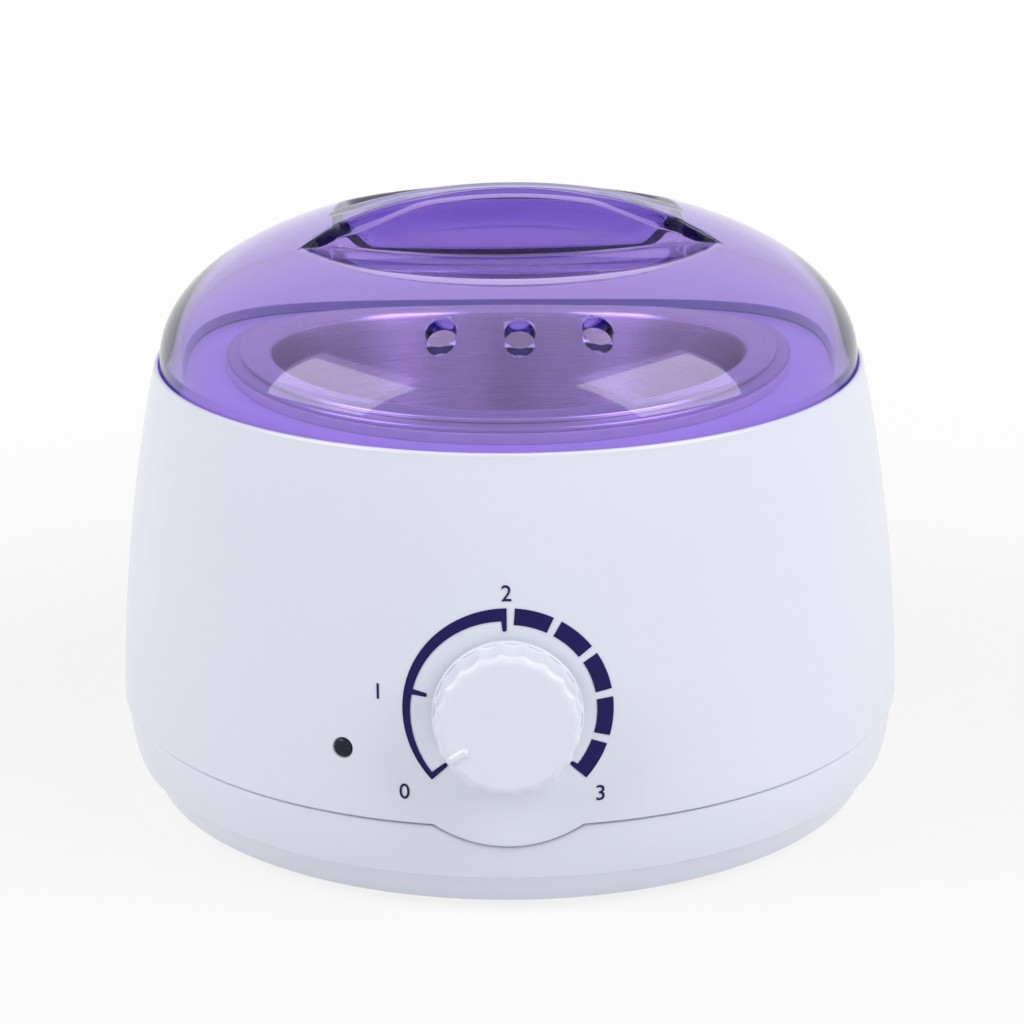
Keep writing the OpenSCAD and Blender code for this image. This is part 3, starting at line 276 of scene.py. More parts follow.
def block(low: Sequence[float], high: Sequence[float]) -> Patch:
    """A box, made as a four-sided tube that closes on its own axis.

    Args:
        low: Its lowest corner.
        high: Its highest corner.

    Returns:
        The closed surface.
    """
    x0, y0, z0 = low
    x1, y1, z1 = high
    ring = np.array([[x0, y0], [x1, y0], [x1, y1], [x0, y1]])
    core = np.tile([[(x0 + x1) / 2, (y0 + y1) / 2]], (4, 1))
    rows = [(core, z0), (ring, z0), (ring, z1), (core, z1)]
    points = np.stack([np.column_stack([xy, np.full(4, z)]) for xy, z in rows])
    return Patch.grid(points, wrap_columns=True).outward()


def put(name: str, data: bpy.types.ID) -> bpy.types.Object:
    """Adds an object with its mesh, curve, light or camera to the scene.

    Args:
        name: The name of the object.
        data: What it holds.

    Returns:
        The object, at the origin.
    """
    thing = bpy.data.objects.new(name, data)
    bpy.context.scene.collection.objects.link(thing)
    return thing


def baked(thing: bpy.types.Object) -> bpy.types.Mesh:
    """A new mesh of an object with its modifiers worked out."""
    bpy.context.view_layer.update()
    return bpy.data.meshes.new_from_object(thing.evaluated_get(bpy.context.evaluated_depsgraph_get()))


def weld(mesh: bpy.types.Mesh, clean: bool = True) -> None:
    """Merges the points of a mesh that meet.

    Args:
        mesh: The mesh.
        clean: True where what has no length or area goes as well.
    """
    form = bmesh.new()
    form.from_mesh(mesh)
    bmesh.ops.remove_doubles(form, verts=form.verts, dist=MERGE_DISTANCE)
    if clean:
        bmesh.ops.dissolve_degenerate(form, edges=form.edges, dist=MERGE_DISTANCE / 2)
    form.to_mesh(mesh)
    form.free()
    mesh.validate()


def to_mesh(name: str, patch: Patch) -> bpy.types.Mesh:
    """Makes a welded mesh in metres from a surface in millimetres.

    Args:
        name: The name of the mesh.
        patch: The surface.

    Returns:
        The mesh.
    """
    mesh = bpy.data.meshes.new(name)
    count, faces = len(patch.points), len(patch.quads)
    mesh.vertices.add(count)
    mesh.vertices.foreach_set("co", (patch.points * MM).astype(np.float32).ravel())
    mesh.loops.add(faces * 4)
    mesh.loops.foreach_set("vertex_index", patch.quads.astype(np.int32).ravel())
    mesh.polygons.add(faces)
    mesh.polygons.foreach_set("loop_start", (np.arange(faces) * 4).astype(np.int32))
    mesh.update(calc_edges=True)
    weld(mesh)
    return mesh


def shade(mesh: bpy.types.Mesh, sharp_degrees: float) -> None:
    """Shades a mesh smooth, apart from edges that turn more than the angle given."""
    mesh.shade_smooth()
    mesh.set_sharp_from_angle(angle=math.radians(sharp_degrees))


def worked(piece: bpy.types.Object, tools: Sequence[Patch], cut: Cut, sharp_degrees: float = 32) -> None:
    """Cuts tool solids out of a piece, or joins them to it, and keeps the finished mesh.

    Args:
        piece: The piece, whose mesh is replaced.
        tools: Closed surfaces that don't meet each other.
        cut: Whether they are taken away or joined.
        sharp_degrees: The edge angle that stays sharp in the new mesh.
    """
    name = piece.name + "_tool"
    tool = put(name, to_mesh(name, Patch.joined(tools)))
    step = piece.modifiers.new("work", "BOOLEAN")
    step.operation, step.object, step.solver = cut.value, tool, "EXACT"
    mesh = baked(piece)
    piece.modifiers.clear()
    old, piece.data = piece.data, mesh
    mesh.name = piece.name
    tool_mesh = tool.data
    bpy.data.objects.remove(tool)
    for spent in (old, tool_mesh):
        bpy.data.meshes.remove(spent)
    shade(mesh, sharp_degrees)


# Finishes


class Graph:
    """A node tree with short ways to add nodes and join them."""

    def __init__(self, tree: bpy.types.NodeTree) -> None:
        """Takes a node tree and empties it."""
        self.nodes, self.links = tree.nodes, tree.links
        self.nodes.clear()

    def add(self, kind: str, values: Optional[dict[str, object]] = None) -> bpy.types.Node:
        """Adds a node.

        Args:
            kind: The kind of node.
            values: The values of its inputs, by their names.

        Returns:
            The node.
        """
        node = self.nodes.new(kind)
        self.fill(node, values or {})
        return node

    @staticmethod
    def fill(node: bpy.types.Node, values: dict[str, object]) -> None:
        """Sets the values of a node's inputs by their names."""
        for name, value in values.items():
            node.inputs[name].default_value = value

    def join(self, source: bpy.types.Node, out: str, target: bpy.types.Node, to: str | int) -> None:
        """Links an output of one node to an input of another."""
        self.links.new(source.outputs[out], target.inputs[to])

    def length(self, source: bpy.types.Node, out: str) -> bpy.types.Node:
        """Adds the length of a vector.

        Args:
            source: The node that gives the vector.
            out: Its output.

        Returns:
            The node that gives the length.
        """
        node = self.add("ShaderNodeVectorMath")
        node.operation = "LENGTH"
        self.join(source, out, node, 0)
        return node

    def mix(self, share: tuple[bpy.types.Node, str], first: tuple[bpy.types.Node, str],
            second: tuple[bpy.types.Node, str]) -> bpy.types.Node:
        """Adds a mix of two shaders.

        Args:
            share: The node and output that give the second shader's share.
            first: The node and output of the first shader.
            second: The node and output of the second shader.

        Returns:
            The node that gives the mixed shader.
        """
        node = self.add("ShaderNodeMixShader")
        for k, (source, out) in enumerate((share, first, second)):
            self.join(source, out, node, k)
        return node


class Tree(Graph):
    """The nodes of a material: a Principled shader, fed by patterns on Object coordinates."""

    def __init__(self, name: str) -> None:
        """Starts an empty material with its output and a Principled shader.

        Args:
            name: The name of the material.
        """
        self.material = bpy.data.materials.new(name)
        self.material.use_nodes = True
        super().__init__(self.material.node_tree)
        self.output = self.add("ShaderNodeOutputMaterial")
        self.shader = self.add("ShaderNodeBsdfPrincipled")
        self.join(self.shader, "BSDF", self.output, "Surface")
        self.place = self.add("ShaderNodeTexCoord")

    def noise(self, scale: float, detail: float, stretch: Optional[Sequence[float]] = None) -> bpy.types.Node:
        """Adds a noise on Object coordinates.

        Args:
            scale: Its scale per metre.
            detail: Its levels of detail.
            stretch: Factors for the three axes, if it runs more along one of them.

        Returns:
            The noise node.
        """
        node = self.add("ShaderNodeTexNoise", {"Scale": scale, "Detail": detail})
        if stretch is None:
            self.join(self.place, "Object", node, "Vector")
            return node
        mapping = self.add("ShaderNodeMapping", {"Scale": stretch})
        self.join(self.place, "Object", mapping, "Vector")
        self.join(mapping, "Vector", node, "Vector")
        return node

    def tone(self, source: bpy.types.Node, low: Colour, high: Colour) -> None:
        """Lets the base colour run between two colours over the used part of a noise.

        Args:
            source: The noise.
            low: The colour at its low end.
            high: The colour at its high end.
        """
        node = self.add("ShaderNodeValToRGB")
        ends = node.color_ramp.elements
        ends[0].position, ends[1].position = NOISE_SPAN
        ends[0].color, ends[1].color = (*low, 1), (*high, 1)
        self.join(source, "Fac", node, "Fac")
        self.join(node, "Color", self.shader, "Base Color")

    def mottle(self, source: bpy.types.Node, colour: Colour, darkest: float) -> None:
        """Lets the base colour run from a colour darkened by a factor to the colour itself."""
        self.tone(source, tuple(c * darkest for c in colour), colour)

    def spread(self, source: bpy.types.Node, out: str, used: Span, values: Span) -> bpy.types.Node:
        """Adds a node that takes a part of a source's range to a span of values.

        Args:
            source: The source.
            out: Its output.
            used: The part of its range.
            values: The values at that part's two ends.

        Returns:
            The node, whose output is Result.
        """
        node = self.add("ShaderNodeMapRange", {"From Min": used[0], "From Max": used[1],
                                               "To Min": values[0], "To Max": values[1]})
        self.join(source, out, node, "Value")
        return node

    def gloss(self, source: bpy.types.Node, roughness: Span) -> None:
        """Lets the roughness run between two values over the used part of a noise."""
        self.join(self.spread(source, "Fac", NOISE_SPAN, roughness), "Result", self.shader, "Roughness")

    def bump(self, source: bpy.types.Node, depth_mm: float, strength: float) -> None:
        """Feeds the relief of a noise to the shader's normal.

        Args:
            source: The noise.
            depth_mm: The depth of its relief in millimetres.
            strength: The share of it that shows.
        """
        node = self.add("ShaderNodeBump", {"Strength": strength, "Distance": depth_mm * MM})
        self.join(source, "Fac", node, "Height")
        self.join(node, "Normal", self.shader, "Normal")


@dataclass(frozen=True)
class Moulded:
    """Moulded plastic: a faint change of colour, a gloss that varies and the grain of the tool."""

    slot: str
    colour: Colour
    roughness: Span = (0.2, 0.27)
    grain_mm: float = 0.004
    mottle: float = 0.985
    gleam: float = 0.5
    patch_scale: float = 18.0
    gloss_scale: float = 60.0
    grain_scale: float = 900.0
    grain_strength: float = 0.5

    def material(self) -> bpy.types.Material:
        """The finish as a material.

        Returns:
            The material.
        """
        tree = Tree(self.slot)
        tree.mottle(tree.noise(self.patch_scale, 2), self.colour, self.mottle)
        tree.gloss(tree.noise(self.gloss_scale, 4), self.roughness)
        tree.bump(tree.noise(self.grain_scale, 4), self.grain_mm, self.grain_strength)
        tree.fill(tree.shader, {"Specular IOR Level": self.gleam})
        return tree.material


@dataclass(frozen=True)
class Spun:
    """Metal turned on a lathe: fine rings round the Z axis, which also stretch its reflections."""

    slot: str
    colour: Colour
    roughness: Span = (0.24, 0.34)
    pitch_mm: float = 0.35
    ring_mm: float = 0.006
    ring_strength: float = 0.6
    stretch: float = 0.75
    quarter_turn: float = 0.25
    cloud_scale: float = 35.0
    mottle: float = 0.94

    def material(self) -> bpy.types.Material:
        """The finish as a material: rings of an irregular pitch over radius and height together.

        Returns:
            The material.
        """
        tree = Tree(self.slot)
        split = tree.add("ShaderNodeSeparateXYZ")
        tree.join(tree.place, "Object", split, "Vector")
        flat = tree.add("ShaderNodeCombineXYZ")
        for axis in ("X", "Y"):
            tree.join(split, axis, flat, axis)
        ring = tree.add("ShaderNodeCombineXYZ")
        tree.join(tree.length(flat, "Vector"), "Value", ring, "X")
        tree.join(split, "Z", ring, "Y")
        lines = tree.add("ShaderNodeTexNoise", {"Scale": 1 / (self.pitch_mm * MM), "Detail": 3})
        tree.join(ring, "Vector", lines, "Vector")
        tree.mottle(tree.noise(self.cloud_scale, 3), self.colour, self.mottle)
        tree.gloss(lines, self.roughness)
        tree.bump(lines, self.ring_mm, self.ring_strength)
        tree.fill(tree.shader, {"Metallic": 1.0, "Anisotropic": self.stretch,
                                "Anisotropic Rotation": self.quarter_turn})
        around = tree.add("ShaderNodeTangent")
        around.direction_type, around.axis = "RADIAL", "Z"
        tree.join(around, "Tangent", tree.shader, "Tangent")
        return tree.material


@dataclass(frozen=True)
class Rolled:
    """Rolled or plated metal: streaks along one axis and a cloudy gloss."""

    slot: str
    colour: Colour
    roughness: Span = (0.3, 0.45)
    streak_mm: float = 0.004
    streak_strength: float = 0.6
    streak_scale: float = 900.0
    streak_stretch: Triple = (0.04, 1.0, 1.0)
    cloud_scale: float = 120.0
    mottle: float = 0.88

    def material(self) -> bpy.types.Material:
        """The finish as a material.

        Returns:
            The material.
        """
        tree = Tree(self.slot)
        streaks = tree.noise(self.streak_scale, 4, self.streak_stretch)
        tree.mottle(tree.noise(self.cloud_scale, 3), self.colour, self.mottle)
        tree.gloss(streaks, self.roughness)
        tree.bump(streaks, self.streak_mm, self.streak_strength)
        tree.fill(tree.shader, {"Metallic": 1.0})
        return tree.material


@dataclass(frozen=True)
class Fibre:
    """Felted or flaked sheet: a coarse relief and a strong change of colour."""

    slot: str
    colour: Colour
    scale: float = 1400.0
    stretch: Triple = (1.0, 1.0, 0.35)
    relief_mm: float = 0.12
    relief_strength: float = 0.7
    roughness: float = 0.85
    mottle: float = 0.72

    def material(self) -> bpy.types.Material:
        """The finish as a material.

        Returns:
            The material.
        """
        tree = Tree(self.slot)
        fibres = tree.noise(self.scale, 6, self.stretch)
        tree.mottle(fibres, self.colour, self.mottle)
        tree.fill(tree.shader, {"Roughness": self.roughness})
        tree.bump(fibres, self.relief_mm, self.relief_strength)
        return tree.material


@dataclass(frozen=True)
class TintedAcrylic:
    """Clear tinted plastic: polished faces, and a tint that deepens with the wall it crosses.

    A part of the tint lies in the faces, so that light which runs far inside the wall keeps it, and
    the colour of its shadow is set apart.
    """

    slot: str
    face: Colour
    shadow: Colour
    wall: Colour
    density: float
    index: float = 1.49
    roughness: float = 0.012
    wave_mm: float = 0.05
    wave_scale: float = 22.0
    wave_strength: float = 0.25

    def material(self) -> bpy.types.Material:
        """The finish as a material. Lamps reach through it, so that what is inside is lit.

        Returns:
            The material.
        """
        tree = Tree(self.slot)
        tree.fill(tree.shader, {"Base Color": (*self.face, 1), "Transmission Weight": 1.0,
                                "IOR": self.index, "Roughness": self.roughness})
        tree.bump(tree.noise(self.wave_scale, 2), self.wave_mm, self.wave_strength)
        per_face = (*(math.sqrt(c) for c in self.shadow), 1)
        clear = tree.add("ShaderNodeBsdfTransparent", {"Color": per_face})
        path = tree.add("ShaderNodeLightPath")
        choice = tree.mix((path, "Is Shadow Ray"), (tree.shader, "BSDF"), (clear, "BSDF"))
        tree.join(choice, "Shader", tree.output, "Surface")
        wall = tree.add("ShaderNodeVolumeAbsorption", {"Color": (*self.wall, 1), "Density": self.density})
        tree.join(wall, "Volume", tree.output, "Volume")
        return tree.material


@dataclass(frozen=True)
class Ink:
    """Screen-printed ink: a dense flat colour with a slightly uneven film."""

    slot: str
    colour: Colour
    roughness: Span = (0.3, 0.42)
    gleam: float = 0.15
    film_mm: float = 0.004
    film_strength: float = 0.5
    film_scale: float = 700.0
    mottle: float = 0.85

    def material(self) -> bpy.types.Material:
        """The finish as a material.

        Returns:
            The material.
        """
        tree = Tree(self.slot)
        film = tree.noise(self.film_scale, 3)
        tree.mottle(film, self.colour, self.mottle)
        tree.gloss(film, self.roughness)
        tree.fill(tree.shader, {"Specular IOR Level": self.gleam})
        tree.bump(film, self.film_mm, self.film_strength)
        return tree.material


FINISHES = {
    finish.slot: finish
    for finish in (
        Moulded("case_plastic", (0.78, 0.797, 0.895)),
        Moulded("knob_plastic", (0.8, 0.815, 0.915), roughness=(0.27, 0.3), mottle=0.995),
        TintedAcrylic("lid_plastic", face=(0.73, 0.63, 0.9), shadow=(0.28, 0.14, 0.38),
                      wall=(0.36, 0.19, 0.79), density=100.0),
        Spun("pot_metal", (0.78, 0.77, 0.775), ring_mm=0.0025),
        Spun("well_metal", (0.74, 0.74, 0.76), roughness=(0.3, 0.42), pitch_mm=0.6, ring_mm=0.01),
        Rolled("sheet_steel", (0.6, 0.61, 0.63)),
        Rolled("screw_steel", (0.55, 0.56, 0.58), roughness=(0.24, 0.36)),
        Rolled("brass", (0.78, 0.62, 0.32), roughness=(0.22, 0.34)),
        Moulded("rubber", (0.035, 0.035, 0.038), roughness=(0.6, 0.75), grain_mm=0.02, mottle=0.8),
        Moulded("silicone", (0.66, 0.66, 0.64), roughness=(0.45, 0.55), grain_mm=0.008),
        Fibre("mica", (0.4, 0.33, 0.25), scale=500.0, relief_mm=0.05),
        Fibre("glass_fibre", (0.84, 0.81, 0.72)),
        Moulded("phenolic", (0.2, 0.085, 0.04), roughness=(0.35, 0.5), mottle=0.8),
        Moulded("black_plastic", (0.022, 0.022, 0.024), roughness=(0.32, 0.45), grain_mm=0.01, mottle=0.85),
        Moulded("ivory_plastic", (0.78, 0.71, 0.52), roughness=(0.32, 0.42)),
        Ink("navy_print", (0.015, 0.009, 0.1)),
        Moulded("dark_lens", (0.009, 0.011, 0.026), roughness=(0.05, 0.08), grain_mm=0.0005, gleam=0.22),
        Moulded("bulb_glass", (0.8, 0.36, 0.16), roughness=(0.05, 0.1), grain_mm=0.001),
        Rolled("fuse_metal", (0.7, 0.66, 0.58)),
        Moulded("wire_red", (0.45, 0.02, 0.015), roughness=(0.4, 0.5)),
        Moulded("wire_black", (0.02, 0.02, 0.02), roughness=(0.4, 0.5)),
        Moulded("wire_blue", (0.03, 0.09, 0.4), roughness=(0.4, 0.5)),
        Moulded("wire_green", (0.16, 0.25, 0.04), roughness=(0.4, 0.5)),
    )
}
_materials: dict[str, bpy.types.Material] = {}


def finish_of(slot: str) -> bpy.types.Material:
    """The material of a slot, made once.

    Args:
        slot: The name of the slot.

    Returns:
        The material.
    """
    if slot not in _materials:
        _materials[slot] = FINISHES[slot].material()
    return _materials[slot]


def piece_of(name: str, patch: Patch, slot: str, body: Body, stands_for: Sequence[str],
             sharp_degrees: float = 32) -> bpy.types.Object:
    """Makes a piece from a surface, dresses it and sets it on its body.

    Args:
        name: The name of the piece.
        patch: Its surface in millimetres, where it stands at rest.
        slot: The material slot that it takes its finish from.
        body: The body that it rides on.
        stands_for: The CAD nodes that it replaces.
        sharp_degrees: The edge angle above which its shading stays sharp.

    Returns:
        The piece.
    """
    mesh = to_mesh(name, patch)
    shade(mesh, sharp_degrees)
    piece = put(name, mesh)
    mesh.materials.append(finish_of(slot))
    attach(piece, body.value)
    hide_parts(*stands_for)
    return piece


# The case


@dataclass
class CaseForm:
    """The side of the upper case and the heights that other pieces hang on."""

    bottom_r: float = 90.1
    top_r: float = 80.4
    belly: float = 1.9
    wall: float = 2.5
    seam_z: float = 22.0
    rim_z: float = 99.9
    rim_round: float = 0.8
    seat_r: float = 79.5
    deck_z: float = 97.2
    deck_under_z: float = 94.8
    deck_hole_r: float = 58.2
    tongue_r: float = 29.5
    dial_z: float = 47.0
    floor_z: float = 2.0
    floor_top_z: float = 4.4

    def radius(self, z: Array) -> Array:
        """Radius at height z: a straight cone plus a shallow parabola, and upright below the seam."""
        t = np.clip((np.asarray(z, float) - self.seam_z) / (self.rim_z - self.seam_z), 0, None)
        return self.bottom_r + (self.top_r - self.bottom_r) * t + self.belly * 4 * t * (1 - t)

    def slope(self, z: float) -> float:
        """Change of radius with height at height z.

        Args:
            z: The height.

        Returns:
            The slope, which is negative where the case narrows upwards.
        """
        h = self.rim_z - self.seam_z
        t = (z - self.seam_z) / h
        return (self.top_r - self.bottom_r) / h + self.belly * 4 * (1 - 2 * t) / h

    def on_case(self, z: float, left_degrees: float = 0.0) -> Callable[[Array], Array]:
        """Gives the move from a frame on the case, x right, y up and z straight out, to its place.

        Args:
            z: Height of the frame's origin.
            left_degrees: Its direction from the front towards the left.

        Returns:
            A function that takes points in that frame to their places.
        """
        a = math.radians(90) + math.atan(self.slope(z))
        tilt = np.array([[1, 0, 0], [0, math.cos(a), -math.sin(a)], [0, math.sin(a), math.cos(a)]])
        start = np.array([0, -float(self.radius(z)), z])
        return lambda points: turned(points @ tilt.T + start, math.radians(-left_degrees))

    def print_place(self, x: Array, z: Array, out: Array) -> Array:
        """Points at (x, height z) on the case's front, out millimetres outside its surface."""
        r = self.radius(z) + out
        return np.stack([x, -np.sqrt(r * r - x * x), z], -1)


@dataclass
class UpperCase:
    """The white upper case with its tongue below the dial, its rim and its deck."""

    form: CaseForm
    edge: float = 0.45
    columns: int = 288
    tongue_columns: int = 49
    corner_clear: float = 1.06
    corner_steps_degrees: Triple = (0.12, 0.3, 0.6)
    rim_slope: float = 0.06
    inner_drop: float = 3.0
    screw_count: int = 4
    screw_ring_r: float = 75.0
    screw_first_degrees: float = 45.0
    post_r: float = 3.6
    post_low: float = 7.4
    post_high: float = 40.0
    rib_half_w: float = 1.0
    rib_low: float = 27.6
    rib_bite: float = 0.6
    bracket_count: int = 3
    bracket_ring_r: float = 69.0
    bracket_first_degrees: float = 30.0
    boss_r: float = 3.4
    deck_boss_h: float = 7.0
    pad_x: float = 16.0
    pad_depth: float = 9.5
    lamp_z: float = 36.8
    lamp_angle: float = 22.7
    lamp_hole_r: float = 2.1
    lamp_hole_ease: float = 0.5
    shaft_hole_r: float = 4.0

    def screw_spots(self) -> list[Spot]:
        """Places of the case screws as (x, y)."""
        return ring_spots(self.screw_count, self.screw_ring_r, self.screw_first_degrees)

    def azimuths(self) -> Array:
        """Even steps all round, with fine ones over the tongue and where it leaves the level seam.

        Returns:
            The azimuths in rising order.
        """
        f = self.form
        half_w = math.sqrt(f.tongue_r ** 2 - (f.dial_z - f.seam_z) ** 2)
        corner = math.asin(half_w / f.bottom_r)
        even = np.linspace(-math.pi, math.pi, self.columns, endpoint=False)
        even = even[np.abs(even) > corner * self.corner_clear]
        near = np.radians(self.corner_steps_degrees)
        return np.sort(np.concatenate([even, np.linspace(-corner, corner, self.tongue_columns),
                                       corner + near, -corner - near]))

    def below_seam(self, azimuth: Array, radius: float, level_z: float, tongue_r: float) -> Array:
        """Height of an edge that runs level and dips round the tongue.

        Args:
            azimuth: Where the heights are wanted.
            radius: Radius of the wall there.
            level_z: Height of the level part.
            tongue_r: Radius of the circle round the dial's middle that the edge follows below it.

        Returns:
            The heights: the lower of the level and the circle.
        """
        x = radius * np.sin(azimuth)
        inside = (np.abs(x) < tongue_r) & (np.cos(azimuth) > 0)
        circle = self.form.dial_z - np.sqrt(np.maximum(tongue_r ** 2 - x * x, 0))
        return np.where(inside, np.minimum(level_z, circle), level_z)

    def shell(self) -> Patch:
        """The closed wall: outside upwards, over the rim, down to the deck and back down inside.

        Returns:
            The closed surface.
        """
        f, azimuth, e = self.form, self.azimuths(), self.edge
        out_r, in_r = f.bottom_r, f.bottom_r - f.wall
        outer_low = self.below_seam(azimuth, out_r, f.seam_z, f.tongue_r)
        inner_low = self.below_seam(azimuth, in_r, f.seam_z, f.tongue_r)
        t = np.linspace(0, 1, 49)[:, None]
        outer_z = (outer_low + e)[None, :] * (1 - t) + (f.rim_z - f.rim_round) * t
        outer = polar(f.radius(outer_z), azimuth[None, :], outer_z)
        rim_r = float(f.radius(f.rim_z - f.rim_round))
        inner_top = f.deck_under_z - self.inner_drop
        inner_r = float(f.radius(inner_top)) - f.wall
        over = rounded([(rim_r, f.rim_z - f.rim_round, 0), (rim_r - self.rim_slope, f.rim_z, 0.7),
                        (f.seat_r, f.rim_z, 0.25), (f.seat_r, f.deck_z, 0.5),
                        (f.deck_hole_r, f.deck_z, 0.4), (f.deck_hole_r, f.deck_under_z, 0.3),
                        (inner_r - self.inner_drop, f.deck_under_z, 1.5), (inner_r, inner_top, 0)], steps=4)
        over = denser(over, longest=4)[1:-1]
        top = polar(over[:, :1], azimuth[None, :], over[:, 1:])
        t = np.linspace(0, 1, 25)[:, None]
        inner_z = inner_top * (1 - t) + (inner_low + e)[None, :] * t
        inner = polar(f.radius(inner_z) - f.wall, azimuth[None, :], inner_z)
        a = np.radians([[22.5], [45], [67.5], [90]])
        inner_edge = polar(in_r + e * (1 - np.cos(a)), azimuth[None, :], inner_low + e * (1 - np.sin(a)))
        outer_edge = polar(out_r - e * (1 - np.sin(a - a[0])), azimuth[None, :],
                           outer_low + e * (1 - np.cos(a - a[0])))
        points = np.concatenate([outer, top, inner, inner_edge, outer_edge])
        return Patch.grid(points, wrap_rows=True, wrap_columns=True).outward()

    def fixings(self) -> list[Patch]:
        """The screw posts, the bosses under the deck and the pads behind the dial.

        Returns:
            Closed surfaces to be joined to the wall.
        """
        f = self.form
        posts = [peg(self.post_r, self.post_low, self.post_high, 0.3, 0.5, spot)
                 for spot in self.screw_spots()]
        bosses = [peg(self.boss_r, f.deck_under_z - self.deck_boss_h, f.deck_under_z + 1, 0.3, spot=spot)
                  for spot in ring_spots(self.bracket_count, self.bracket_ring_r, self.bracket_first_degrees)]
        place = f.on_case(f.dial_z)
        pads = [peg(self.boss_r, -self.pad_depth, -2, 0.3, spot=(x, 0)).moved(place)
                for x in (-self.pad_x, self.pad_x)]
        return posts + bosses + pads

    def ribs(self) -> list[Patch]:
        """Upright ribs that join the screw posts to the wall.

        Returns:
            Closed surfaces to be joined to the wall and the posts.
        """
        far = float(self.form.radius(self.post_high)) - self.form.wall + self.rib_bite
        rib = block((self.screw_ring_r, -self.rib_half_w, self.rib_low),
                    (far, self.rib_half_w, self.post_high))
        return [rib.moved(lambda p, a=a: turned(p, a))
                for a in ring_angles(self.screw_count, self.screw_first_degrees)]

    def holes(self) -> list[Patch]:
        """The lamp's hole with its eased edge, and the hole behind the knob.

        Returns:
            The cutters, as closed surfaces.
        """
        r, wide = self.lamp_hole_r, self.lamp_hole_r + self.lamp_hole_ease
        lamp = lathe(rounded([(0, -12, 0), (r, -12, 0), (r, -0.3, 0.2), (wide, 0.2, 0),
                              (wide, 3, 0), (0, 3, 0)]), 64)
        shaft = peg(self.shaft_hole_r, -6, 4, columns=64)
        return [lamp.moved(self.form.on_case(self.lamp_z, self.lamp_angle)),
                shaft.moved(self.form.on_case(self.form.dial_z))]

    def build(self) -> None:
        """Builds and dresses the upper case."""
        piece = piece_of("upper_case_shell", self.shell(), "case_plastic", Body.ROOT, ["upper_case"])
        worked(piece, self.fixings(), Cut.JOIN)
        worked(piece, self.ribs(), Cut.JOIN)
        worked(piece, self.holes(), Cut.TAKE_AWAY)


